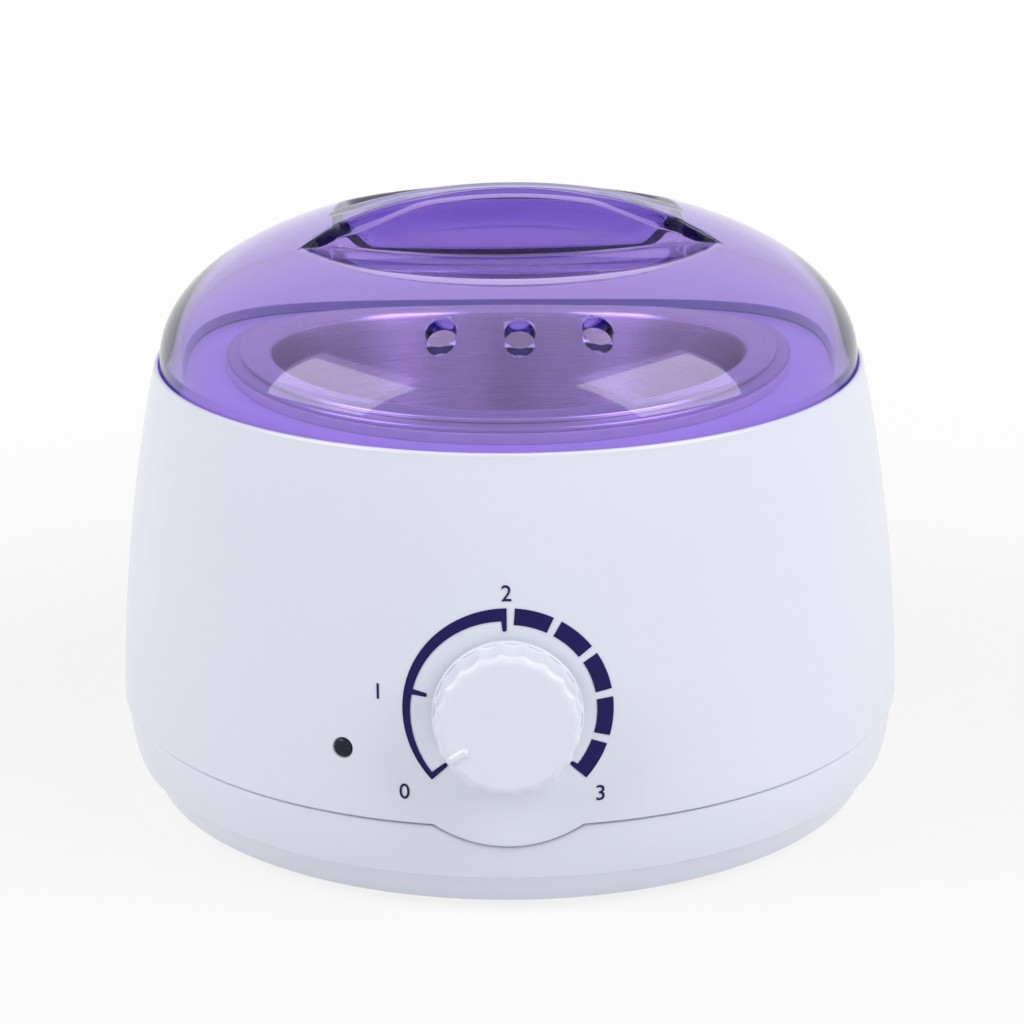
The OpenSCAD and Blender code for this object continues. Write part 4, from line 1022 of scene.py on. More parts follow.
@dataclass
class BaseTray:
    """The white base: lower band, upper band, the notch for the tongue and the lip inside the case."""

    form: CaseForm
    upper: UpperCase
    bottom_r: float = 83.0
    step_z: float = 9.4
    step_w: float = 0.8
    top_r: float = 89.2
    top_z: float = 21.35
    lean: float = 1.6
    edge: float = 0.4
    lip_outer_r: float = 87.2
    lip_inner_r: float = 84.8
    lip_top: float = 26.6
    notch_r: float = 30.15
    vent_count: int = 12
    vent_first_degrees: float = 15.0
    vent_ring_r: float = 36.0
    vent_w: float = 2.4
    vent_length: float = 14.0
    vent_cut: Span = (0.5, 7.5)
    foot_count: int = 4
    foot_ring_r: float = 66.0
    foot_r: float = 7.0
    foot_top: float = 2.6
    foot_gap: float = 0.15
    screw_boss_r: float = 4.5
    screw_boss_h: float = 3.0
    screw_head_r: float = 3.3
    screw_head_z: float = 5.0
    screw_hole_r: float = 1.7
    inlet_z: float = 15.5
    inlet_seat_r: float = 6.0
    inlet_hole_r: float = 4.7
    inlet_hole_end: float = 95.0
    block_y: float = 51.0
    block_boss_r: float = 3.2
    clamp_y: float = 64.0
    clamp_x: float = 8.0
    clamp_post_r: float = 3.0
    clamp_post_top: float = 10.4

    def band_r(self, z: Array) -> Array:
        """Radius of the upper band: it leans in towards the step as a parabola."""
        return self.top_r - self.lean * ((self.top_z - z) / (self.top_z - self.step_z)) ** 2

    def shell(self) -> Patch:
        """The closed tray, whose upper band ends at the seam or, in front, at the tongue's notch.

        Returns:
            The closed surface.
        """
        f, azimuth, e = self.form, self.upper.azimuths(), self.edge
        top = self.upper.below_seam(azimuth, self.top_r, self.top_z, self.notch_r)
        r_step = float(self.band_r(self.step_z))
        foot = rounded([(0, f.floor_z, 0), (self.bottom_r, f.floor_z, 0.9),
                        (r_step - self.step_w, self.step_z - 0.1, 0.15), (r_step, self.step_z, 0)])
        foot = denser(foot, longest=5)
        t = np.linspace(0.02, 1, 14)[:, None]
        band_z = self.step_z * (1 - t) + (top - e)[None, :] * t
        a = np.radians([[30], [60], [90]])
        edge_r = self.band_r(top - e)[None, :] - e * (1 - np.cos(a))
        edge = polar(edge_r, azimuth[None, :], top - e * (1 - np.sin(a)))
        shelf_r = np.array([[self.lip_outer_r + 0.5], [self.lip_outer_r]])
        shelf = polar(shelf_r, azimuth[None, :], top[None, :])
        t = np.array([[0.3], [0.65], [1.0]])
        side = polar(self.lip_outer_r, azimuth[None, :], top * (1 - t) + (self.lip_top - e) * t)
        inner = rounded([(self.lip_outer_r, self.lip_top - e, 0), (self.lip_outer_r, self.lip_top, 0.35),
                         (self.lip_inner_r, self.lip_top, 0.35), (self.lip_inner_r, self.step_z - 0.5, 2),
                         (self.bottom_r - 1.8, f.floor_top_z, 2), (0, f.floor_top_z, 0)], steps=4)
        inner = denser(inner, longest=5)[1:]
        points = np.concatenate([
            polar(foot[:, :1], azimuth[None, :], foot[:, 1:]),
            polar(self.band_r(band_z), azimuth[None, :], band_z), edge, shelf, side,
            polar(inner[:, :1], azimuth[None, :], inner[:, 1:])])
        return Patch.grid(points, wrap_columns=True).outward()

    def bosses(self) -> list[Patch]:
        """The screw bosses, the clamp's posts, the terminal block's boss and the inlet's flat seat.

        Returns:
            Closed surfaces to be joined to the tray.
        """
        floor, low = self.form.floor_top_z, self.form.floor_top_z - 0.5
        solids = [peg(self.screw_boss_r, low, floor + self.screw_boss_h, 0, 0.4, spot)
                  for spot in self.upper.screw_spots()]
        for x in (-self.clamp_x, self.clamp_x):
            solids.append(peg(self.clamp_post_r, low, self.clamp_post_top, 0, 0.3, (x, self.clamp_y)))
        solids.append(peg(self.block_boss_r, low, floor + 1.0, 0, 0.3, (0.0, self.block_y)))
        seat = peg(self.inlet_seat_r, self.lip_inner_r + 1, self.top_r, 0.2, 0.2, columns=64)
        solids.append(seat.moved(self.rear_place))
        return solids

    def rear_place(self, points: Array) -> Array:
        """Lays an upright axis along +Y at the inlet's height."""
        return np.stack([points[:, 0], points[:, 2], self.inlet_z - points[:, 1]], -1)

    def vent(self) -> Patch:
        """The cutter of a cooling slot that lies along +X: a bar with two half-round ends.

        Returns:
            The cutter, as a closed surface.
        """
        half, end_r = (self.vent_length - self.vent_w) / 2, self.vent_w / 2
        a = np.linspace(-math.pi / 2, math.pi / 2, 9)
        u = np.concatenate([half + end_r * np.cos(a), -half - end_r * np.cos(a)])
        v = np.concatenate([end_r * np.sin(a), -end_r * np.sin(a)])
        low, high = self.vent_cut
        rows = [np.stack([self.vent_ring_r + u * scale, v * scale, np.full(len(u), z)], -1)
                for scale, z in ((0, low), (1, low), (1, high), (0, high))]
        return Patch.grid(np.array(rows), wrap_columns=True).outward()

    def holes(self) -> list[Patch]:
        """The cooling slots, the pockets of the feet, the screw holes and the inlet's hole.

        Returns:
            The cutters, as closed surfaces.
        """
        vent = self.vent()
        solids = [vent.moved(lambda p, a=a: turned(p, a))
                  for a in ring_angles(self.vent_count, self.vent_first_degrees)]
        hole = np.array([[0, 0], [self.screw_head_r, 0], [self.screw_head_r, self.screw_head_z],
                         [self.screw_hole_r, self.screw_head_z], [self.screw_hole_r, 12], [0, 12]], float)
        feet = ring_spots(self.foot_count, self.foot_ring_r, 0)
        for foot, screw in zip(feet, self.upper.screw_spots()):
            solids.append(peg(self.foot_r + self.foot_gap, 0, self.foot_top, spot=foot, columns=64))
            solids.append(lathe(hole, 48, screw))
        inlet = peg(self.inlet_hole_r, self.lip_inner_r / 2, self.inlet_hole_end, columns=64)
        return solids + [inlet.moved(self.rear_place)]

    def feet(self) -> Patch:
        """Four round rubber feet with a rounded edge and a shallow ring in the sole.

        Returns:
            The four feet as one surface.
        """
        sole = rounded([(0, 0.35, 0), (3.2, 0.35, 0.2), (3.6, 0, 0.2), (self.foot_r - 0.1, 0, 0.8),
                        (self.foot_r, self.foot_top, 0.1), (0, self.foot_top, 0)])
        spots = ring_spots(self.foot_count, self.foot_ring_r, 0)
        return Patch.joined([lathe(sole, 96, spot) for spot in spots])

    def build(self) -> None:
        """Builds and dresses the base and its feet."""
        piece = piece_of("base_tray", self.shell(), "case_plastic", Body.ROOT, ["base_shell"])
        worked(piece, self.bosses(), Cut.JOIN)
        worked(piece, self.holes(), Cut.TAKE_AWAY)
        piece_of("rubber_feet", self.feet(), "rubber", Body.ROOT, ["feet"])


@dataclass
class CordInlet:
    """The black inlet bush at the rear, where the mains lead goes in."""

    tray: BaseTray
    flange_r: float = 5.7
    flange_h: float = 1.6
    barrel_r: float = 4.6
    bore_r: float = 3.3
    bore_ease: float = 0.5
    back: float = 9.5

    def build(self) -> None:
        """Builds the bush as a turned ring with eased edges, its axis along +Y."""
        face, out, back = self.tray.top_r, self.tray.top_r + self.flange_h, self.tray.top_r - self.back
        ring = rounded([(self.bore_r + self.bore_ease, out, 0), (self.flange_r, out, 0.5),
                        (self.flange_r, face, 0.15), (self.barrel_r, face, 0.1), (self.barrel_r, back, 0.3),
                        (self.bore_r, back, 0.3), (self.bore_r, out - self.bore_ease, 0.4)], steps=4)
        patch = lathe(ring, 96).moved(self.tray.rear_place)
        piece_of("cord_inlet_bush", patch.outward(), "black_plastic", Body.ROOT, ["cord_inlet"])


# Pot and well


@dataclass
class PotAndWell:
    """The lift-out aluminium pot, the heated well round it and the gasket under the well's flange."""

    mouth_r: float = 54.0
    foot_r: float = 51.4
    floor_z: float = 40.2
    under_z: float = 39.2
    top_z: float = 101.2
    wall: float = 1.0
    flange_r: float = 61.6
    corner_r: float = 6.0
    mouth_round: float = 2.6
    well_gap: float = 0.9
    well_wall: float = 1.2
    well_floor_gap: float = 0.3
    well_flange_r: float = 64.5
    well_top_z: float = 100.2
    gasket_z: float = 97.2
    gasket_top_z: float = 99.2
    gasket_in_r: float = 58.6
    gasket_out_r: float = 65.0
    shield_z: float = 29.3
    stud_count: int = 3
    stud_ring_r: float = 38.0
    stud_first_degrees: float = 30.0
    stud_r: float = 3.0
    fuse_boss_y: float = 27.0
    fuse_boss_r: float = 2.4
    fuse_boss_h: float = 3.0

    def side_r(self, z: float) -> float:
        """Outer radius of the pot's side at height z, a straight cone."""
        share = (z - self.under_z) / (self.well_top_z - self.under_z)
        return self.foot_r + (self.mouth_r + self.wall - self.foot_r) * share

    def pot_section(self) -> Array:
        """The pot's wall in section, with the rolled edge at its mouth.

        Returns:
            The section as an array of (radius, height).
        """
        z0, z1, top, wall = self.under_z, self.floor_z, self.top_z, self.wall
        line = rounded([(0, z0, 0), (self.side_r(z0), z0, self.corner_r),
                        (self.mouth_r + wall, top - wall, 0.5), (self.flange_r, top - wall, 0.45),
                        (self.flange_r, top, 0.45), (self.mouth_r, top, self.mouth_round),
                        (self.side_r(z1) - wall, z1, self.corner_r - wall), (0, z1, 0)], steps=8)
        return denser(line, longest=4)

    def well_section(self) -> Array:
        """The well's wall in section, which follows the pot at a small gap.

        Returns:
            The section as an array of (radius, height).
        """
        floor, gap = self.under_z - self.well_floor_gap, self.well_gap
        low, grow = floor - self.well_wall, self.well_gap + self.well_wall
        line = rounded([(0, low, 0), (self.side_r(low) + grow, low, self.corner_r + self.well_wall),
                        (self.side_r(self.gasket_top_z) + grow, self.gasket_top_z, 0.3),
                        (self.well_flange_r, self.gasket_top_z, 0.4),
                        (self.well_flange_r, self.well_top_z, 0.4),
                        (self.side_r(self.well_top_z) + gap, self.well_top_z, 0.6),
                        (self.side_r(floor) + gap, floor, self.corner_r), (0, floor, 0)], steps=8)
        return denser(line, longest=4)

    def gasket_section(self) -> Array:
        """The gasket's ring in section, closed at the middle of its inner side.

        Returns:
            The section as an array of (radius, height).
        """
        low, high, inner, outer = self.gasket_z, self.gasket_top_z, self.gasket_in_r, self.gasket_out_r
        middle = (low + high) / 2
        return rounded([(inner, middle, 0), (inner, low, 0.2), (outer, low, 0.2), (outer, high, 0.3),
                        (inner, high, 0.2), (inner, middle, 0)], steps=4)[:-1]

    def studs(self) -> list[Patch]:
        """The three studs of the heat shield and the boss of the fuse clip, under the well.

        Returns:
            Closed surfaces to be joined to the well.
        """
        low = self.under_z - self.well_floor_gap - self.well_wall
        studs = [peg(self.stud_r, self.shield_z, low + 0.5, 0.2, spot=spot)
                 for spot in ring_spots(self.stud_count, self.stud_ring_r, self.stud_first_degrees)]
        boss = peg(self.fuse_boss_r, low - self.fuse_boss_h, low + 0.5, 0.2, spot=(0, self.fuse_boss_y))
        return studs + [boss]

    def build(self) -> None:
        """Builds and dresses the pot, the well and the gasket."""
        piece_of("spun_pot", lathe(self.pot_section(), 288), "pot_metal", Body.POT, ["pot"], 40)
        bowl = lathe(self.well_section(), 240)
        well = piece_of("heated_well_bowl", bowl, "well_metal", Body.ROOT, ["heated_well"], 40)
        worked(well, self.studs(), Cut.JOIN, 40)
        gasket = lathe(self.gasket_section(), 240)
        piece_of("silicone_gasket", gasket, "silicone", Body.ROOT, ["well_gasket"])


# The lid


@dataclass
class TintedLid:
    """The clear tinted lid: a dome whose two finger recesses leave a grip bar between them.

    A surface at depth s lies s inside the outer one; s is 0 outside and the wall inside. Away from
    the recesses the wall is thicker: its inner face is a dome of its own.
    """

    radius: float = 79.2
    rise: float = 35.8
    power: float = 2.1
    inner_power: float = 2.28
    shoulder_z: float = 100.0
    seat_z: float = 97.2
    rim_wall: float = 3.8
    crown_wall: float = 4.1
    wall: float = 2.0
    turn_degrees: float = 2.4
    disc_r: float = 56.0
    grip_half_w: float = 3.4
    grip_waist_r: float = 160.0
    grip_half_length: float = 38.0
    grip_rise: float = 2.9
    run_out: float = 0.45
    tip_slope: float = 1.152
    front_floor_z: float = 123.1
    front_dish_r: float = 215.0
    rear_floor_z: float = 123.3
    rear_floor_half: float = 31.0
    rear_floor_r: float = 33.0
    rear_edge_r: float = 49.2
    rear_end_fillet: float = 0.8
    rear_back_fillet: float = 1.2
    rear_spread: float = 0.2
    crest_fillet: float = 0.5
    fillet: float = 0.6
    bar_fillet: float = 0.7
    inner_fillet_share: float = 0.7
    end_half_share: float = 0.8
    end_fillet_share: float = 0.1
    wall_lean_share: float = 0.12
    hole_count: int = 3
    hole_r: float = 3.2
    hole_ring_r: float = 65.4
    hole_step_degrees: float = 14.3
    hole_lean: float = 0.3
    hole_drop: float = 2.6
    hole_easing: tuple[Span, ...] = ((0.6, 0.2), (0.0, 0.05), (-0.05, 0.015), (-0.12, 0.0))
    hole_reach: float = 6.0
    stations: int = 181

    def outline(self, s: float) -> tuple[float, float, float]:
        """Radius, rise and roundness of the dome at depth s.

        Args:
            s: Depth of the surface below the outer one.

        Returns:
            The radius, the rise and the power of the rounded ellipse.
        """
        if s == 0:
            return self.radius, self.rise, self.power
        return self.radius - self.rim_wall, self.rise - self.crown_wall, self.inner_power

    def dome(self, r: Array, s: float) -> Array:
        """Height of the dome: shoulder + rise * (1 - (r / R) ** p) ** (1 / p), a rounded ellipse."""
        big, rise, p = self.outline(s)
        return self.shoulder_z + rise * np.maximum(1 - (r / big) ** p, 0) ** (1 / p)

    def crest(self, x: Array, s: float) -> Array:
        """Height of the bar's top: a parabola over the dome.

        The crest of the inner face runs out into the inner dome, as 3 q ** 2 - 2 q ** 3 of the way.

        Args:
            x: Places along the bar.
            s: Depth of the surface below the outer one.

        Returns:
            The heights, far below the lid beyond the bar's ends.
        """
        along = np.clip(np.abs(x) / (self.grip_half_length + 1), 0, 1)
        above = self.grip_rise * (1 - along ** 2)
        outer, inner = self.dome(np.abs(x), 0) + above - s, self.dome(np.abs(x), s)
        q = np.clip((along - self.run_out) / (1 - self.run_out), 0, 1) if s else 0 * along
        share = q * q * (3 - 2 * q)
        return np.where(along < 1, outer * (1 - share) + inner * share, FAR_BELOW)

    def front(self, r: Array, s: float) -> Array:
        """Height of the front recess, a dish cut by a large sphere."""
        big = self.front_dish_r
        return self.front_floor_z + big - np.sqrt((big + s) ** 2 - r * r)

    def rear(self, x: Array, r: Array, s: float) -> Array:
        """Height of the rear recess: a flat floor, ends that rise at 45 degrees and a sloping back.

        Args:
            x: Places along the bar.
            r: Distances from the lid's axis.
            s: Depth of the surface below the outer one.

        Returns:
            The heights.
        """
        low = self.rear_floor_z - s
        ends = low + np.abs(x) - self.rear_floor_half - s * (math.sqrt(2) - 1)
        edge = float(self.dome(np.array(self.rear_edge_r), 0))
        slope = (edge - self.rear_floor_z) / (self.rear_edge_r - self.rear_floor_r)
        back = low + (r - self.rear_floor_r - self.rear_spread * s) * slope
        floor = smooth_high(np.full_like(r, low), ends, self.rear_end_fillet)
        return smooth_high(floor, back, self.rear_back_fillet)

    def half_width(self, x: Array, front: bool) -> Array:
        """Half width of the bar at x, a parabola, which flares out along the front beyond its end.

        Args:
            x: Places along the bar.
            front: True for the side towards the front.

        Returns:
            The half widths.
        """
        end = self.grip_half_length
        bar = self.grip_half_w + x * x / (2 * self.grip_waist_r)
        at_end = self.grip_half_w + end * end / (2 * self.grip_waist_r)
        flared = at_end + (np.abs(x) - end) * self.tip_slope
        return np.where(front & (np.abs(x) > end), flared, bar)

    def half_disc(self, s: float, front: bool) -> Array:
        """Height field of one half of the middle disc, from the bar's centre line to the disc's edge.

        Each column stands at x = disc_r * sin(phi). Its rows run over the top of the bar, round a
        fillet, down the wall, round a second fillet and over the recess to y = disc_r * cos(phi).
        Near the disc's ends the bar and its fillets narrow with the column's length.

        Args:
            s: Depth of the surface below the outer one.
            front: True for the front half.

        Returns:
            The points, as an array of (rows, columns, 3).
        """
        phi = np.linspace(-math.pi / 2, math.pi / 2, self.stations)[None, :]
        x, far = self.disc_r * np.sin(phi), self.disc_r * np.cos(phi)
        half = np.minimum(self.half_width(x, front) - s, self.end_half_share * far)
        soft = self.bar_fillet * (self.inner_fillet_share if s else 1.0)
        soft = np.minimum(soft, self.end_fillet_share * far)
        lean = self.wall_lean_share * soft

        def heights(y: Array) -> tuple[Array, Array]:
            """Heights of the bar's top and of the recess at y.

            Args:
                y: Distances from the bar's centre line.

            Returns:
                The heights of the bar's top and those of the recess.
            """
            r = np.hypot(x, y)
            shell = self.dome(r, s)
            recess = self.front(r, s) if front else self.rear(x + 0 * y, r, s)
            return (smooth_high(np.broadcast_to(self.crest(x, s), r.shape), shell, self.crest_fillet),
                    smooth_low(recess, shell, self.fillet))

        top, floor = heights(half)
        drop = np.maximum(top - floor, 1e-4)
        arc = np.minimum(soft, drop / 2)
        a = np.radians(np.linspace(0, 90, 7))[:, None]
        n = np.linspace(0, 1, 9)[1:-1, None]
        wall_y = np.concatenate([half - soft + (soft - lean) * np.sin(a), half - lean + 2 * lean * n,
                                 half + lean + (soft - lean) * (1 - np.cos(a))])
        share = np.concatenate([arc * (1 - np.cos(a)) / drop,
                                (arc + (drop - 2 * arc) * n) / drop,
                                1 - arc * (1 - np.sin(a)) / drop])
        bar_y = (half - soft) * np.linspace(0, 1, 7)[:-1, None]
        t = np.linspace(0, 1, 45)[1:, None]
        out_y = (half + soft) * (1 - t) + far * t
        rows = []
        for y, part in ((bar_y, np.zeros((1, 1))), (wall_y, share), (out_y, np.ones((1, 1)))):
            high, low = heights(y)
            z = high * (1 - part) + low * part
            rows.append(np.stack([np.broadcast_to(x, y.shape), -y if front else y, z], -1))
        return np.concatenate(rows)

    def side(self, s: float) -> Array:
        """The dome's section at depth s as (radius, height), from the middle disc out to the shoulder.

        Args:
            s: Depth of the surface below the outer one.

        Returns:
            The section as an array of (radius, height).
        """
        big, rise, p = self.outline(s)
        a = np.linspace(math.acos((self.disc_r / big) ** (p / 2)), 0, 41)
        run = np.stack([big * np.cos(a) ** (2 / p), self.shoulder_z + rise * np.sin(a) ** (2 / p)], -1)
        run[0] = [self.disc_r, float(self.dome(np.array(self.disc_r), s))]
        return run

    def skirt(self) -> Array:
        """The rest of the dome: out and down to the rim, across it and back up inside.

        Returns:
            The points, as an array of (rows, columns, 3).
        """
        half = np.linspace(-math.pi / 2, math.pi / 2, self.stations)
        azimuth = np.concatenate([half, (half + math.pi)[1:-1]])
        outer, inner = self.side(0), self.side(self.wall)
        rim = rounded([(outer[-1, 0], self.shoulder_z, 0), (outer[-1, 0], self.seat_z, 0.35),
                       (inner[-1, 0], self.seat_z, 0.35), (inner[-1, 0], self.shoulder_z, 0)], steps=4)
        line = np.concatenate([outer, denser(rim, longest=1.2)[1:-1], inner[::-1]])
        return polar(line[:, :1], azimuth[None, :], line[:, 1:])

    def shell(self) -> Patch:
        """The closed lid, welded from the outer disc, the skirt and the inner disc, on its seat.

        Returns:
            The closed surface.
        """
        patches = [Patch.grid(self.skirt(), wrap_columns=True)]
        for s in (0.0, self.wall):
            for front in (True, False):
                half = Patch.grid(self.half_disc(s, front))
                patches.append(half if (s == 0) == front else half.flipped())
        return Patch.joined(patches).outward().moved(self.on_seat)

    def on_seat(self, points: Array) -> Array:
        """Turns points by the lid's turn on its seat."""
        return turned(points, math.radians(self.turn_degrees))

    def steam_holes(self) -> list[Patch]:
        """Cutters of the steam holes, whose rows follow both faces of the dome.

        A row at a distance d over the outer face, or under the inner one, has the hole's radius plus
        an easing that grows with d. It lies further in the deeper it is, as the holes lean inwards.

        Returns:
            The cutters, as closed surfaces.
        """
        outer = [(self.hole_reach, None), (self.hole_reach, 1.0), *self.hole_easing]
        levels = [(0.0, d, grow) for d, grow in outer]
        levels += [(self.wall, -d, grow) for d, grow in reversed(outer)]
        azimuth = FULL_TURN * np.arange(72)[None, :] / 72
        tools = []
        for k in range(self.hole_count):
            a = math.radians(-90 + self.hole_step_degrees * (k - (self.hole_count - 1) / 2))
            rows = []
            for s, d, grow in levels:
                r = 0.0 if grow is None else self.hole_r + grow
                ring = self.hole_ring_r - self.hole_lean * ((self.hole_drop if s else 0.0) - d)
                x, y = ring * math.cos(a) + r * np.cos(azimuth), ring * math.sin(a) + r * np.sin(azimuth)
                rows.append(np.stack([x, y, self.dome(np.hypot(x, y), s) + d], -1))
            tools.append(Patch.grid(np.concatenate(rows), wrap_columns=True).outward().moved(self.on_seat))
        return tools

    def build(self) -> None:
        """Builds and dresses the lid."""
        piece = piece_of("tinted_lid", self.shell(), "lid_plastic", Body.LID, ["lid"], 50)
        worked(piece, self.steam_holes(), Cut.TAKE_AWAY, 50)


# Knob, dial and lamp


@dataclass
class Knob:
    """The white knob: a smooth skirt, a scalloped grip and a raised pointer near the edge of its face."""

    form: CaseForm
    radius: float = 15.6
    height: float = 9.6
    skirt_h: float = 1.6
    gap: float = 0.8
    grip_r: float = 15.2
    scallops: int = 20
    scallop_depth: float = 0.5
    scallop_tool_r: float = 5.0
    ridge_fillet: float = 0.25
    foot_fillet: float = 0.35
    foot_flare: float = 0.6
    draft: float = 0.25
    edge_h: float = 1.2
    edge_w: float = 2.1
    edge_power: float = 0.9
    scallop_end: float = 2.2
    hollow_r: float = 13.2
    roof: float = 1.9
    hub_r: float = 5.2
    bore_r: float = 3.03
    bore_depth: float = 7.4
    pointer_degrees: float = 212.0
    pointer_length: float = 6.0
    pointer_w: float = 1.9
    pointer_h: float = 0.5
    pointer_inset: float = 0.7
    pointer_fade: float = 0.6
    columns: int = 480

    def grip(self, angle: Array) -> Array:
        """Radius of the grip: round scallops cut by a tool of a fixed radius, with softened ridges.

        Args:
            angle: Angles round the knob in radians.

        Returns:
            The radii.
        """
        pitch = FULL_TURN / self.scallops
        d = (angle - math.radians(self.pointer_degrees) + pitch / 2) % pitch - pitch / 2
        far = self.grip_r - self.scallop_depth + self.scallop_tool_r
        cut = far * np.cos(d) - np.sqrt(np.maximum(self.scallop_tool_r ** 2 - (far * np.sin(d)) ** 2, 0))
        return smooth_low(np.full_like(angle, self.grip_r), cut, self.ridge_fillet)

    def pointer(self, x: Array, y: Array) -> Array:
        """Height of the pointer over the face: a rib with a round inner end, as 1 - d ** 3 across.

        Args:
            x: Places on the face to the right.
            y: Places on the face upwards.

        Returns:
            The heights.
        """
        a = math.radians(self.pointer_degrees)
        along, across = x * math.cos(a) + y * math.sin(a), -x * math.sin(a) + y * math.cos(a)
        half = self.pointer_w / 2
        start, end = self.radius - self.pointer_length + half, self.grip_r - self.pointer_inset
        d = np.hypot(across, np.clip(start - along, 0, None)) / half
        past = np.clip((along - end) / self.pointer_fade, 0, 1)
        return self.pointer_h * np.clip(1 - d ** 3, 0, 1) * (1 - past * past)

    def under_side(self) -> Array:
        """The section of the bore, the hub, the hollow and the skirt, out to the grip's foot.

        Returns:
            The section as an array of (radius, height).
        """
        under = self.height - self.roof
        line = rounded([(0, self.bore_depth, 0), (self.bore_r, self.bore_depth, 0.1), (self.bore_r, 0.4, 0),
                        (self.bore_r + 0.3, 0.1, 0), (self.hub_r, 0.1, 0.2), (self.hub_r, under, 0.4),
                        (self.hollow_r, under, 0.4), (self.hollow_r, 0, 0.1), (self.radius, 0, 0.25),
                        (self.radius, self.skirt_h, 0.4), (self.grip_r + 0.1, self.skirt_h, 0)], steps=4)
        return denser(line, longest=3)

    def shell(self) -> Patch:
        """The closed knob in its own frame, from the end of its bore round to the middle of its face.

        Returns:
            The closed surface.
        """
        angle = FULL_TURN * np.arange(self.columns)[None, :] / self.columns
        grip, shoulder, foot_z = self.grip(angle), self.height - self.edge_h, self.skirt_h + self.foot_fillet
        inside = self.under_side()
        foot = np.array([[self.foot_fillet], [0.12], [0.0]])
        t = np.linspace(0, 1, 10)[1:, None]
        side = np.concatenate([polar(inside[:, :1], angle, inside[:, 1:]),
                               polar(grip + foot * self.foot_flare, angle, foot_z - foot),
                               polar(grip - self.draft * t, angle, foot_z * (1 - t) + shoulder * t)])
        side = np.stack([-side[..., 1], side[..., 0], side[..., 2]], -1)
        a = np.radians(np.linspace(0, 90, 12))[1:, None]
        inset = self.edge_w * (1 - np.cos(a)) ** self.edge_power
        fade = np.clip(1 - inset / self.scallop_end, 0, 1)
        edge_r = self.grip_r - self.draft - inset - (self.grip_r - grip) * fade
        edge_z = np.broadcast_to(shoulder + self.edge_h * np.sin(a), edge_r.shape)
        face_r = edge_r[-1:] * (1 - np.linspace(0, 1, 64)[1:, None])
        r, z = np.concatenate([edge_r, face_r]), np.concatenate([edge_z, np.full(face_r.shape, self.height)])
        face = np.stack([r * np.cos(angle), r * np.sin(angle), z], -1)
        face[..., 2] += self.pointer(face[..., 0], face[..., 1])
        return Patch.grid(np.concatenate([side, face]), wrap_columns=True).outward()

    def build(self) -> None:
        """Builds and dresses the knob on the front of the case."""
        place = self.form.on_case(self.form.dial_z)
        patch = self.shell().moved(lambda p: place(p + np.array([0, 0, self.gap])))
        piece_of("scalloped_knob", patch, "knob_plastic", Body.KNOB, ["knob"], 40)


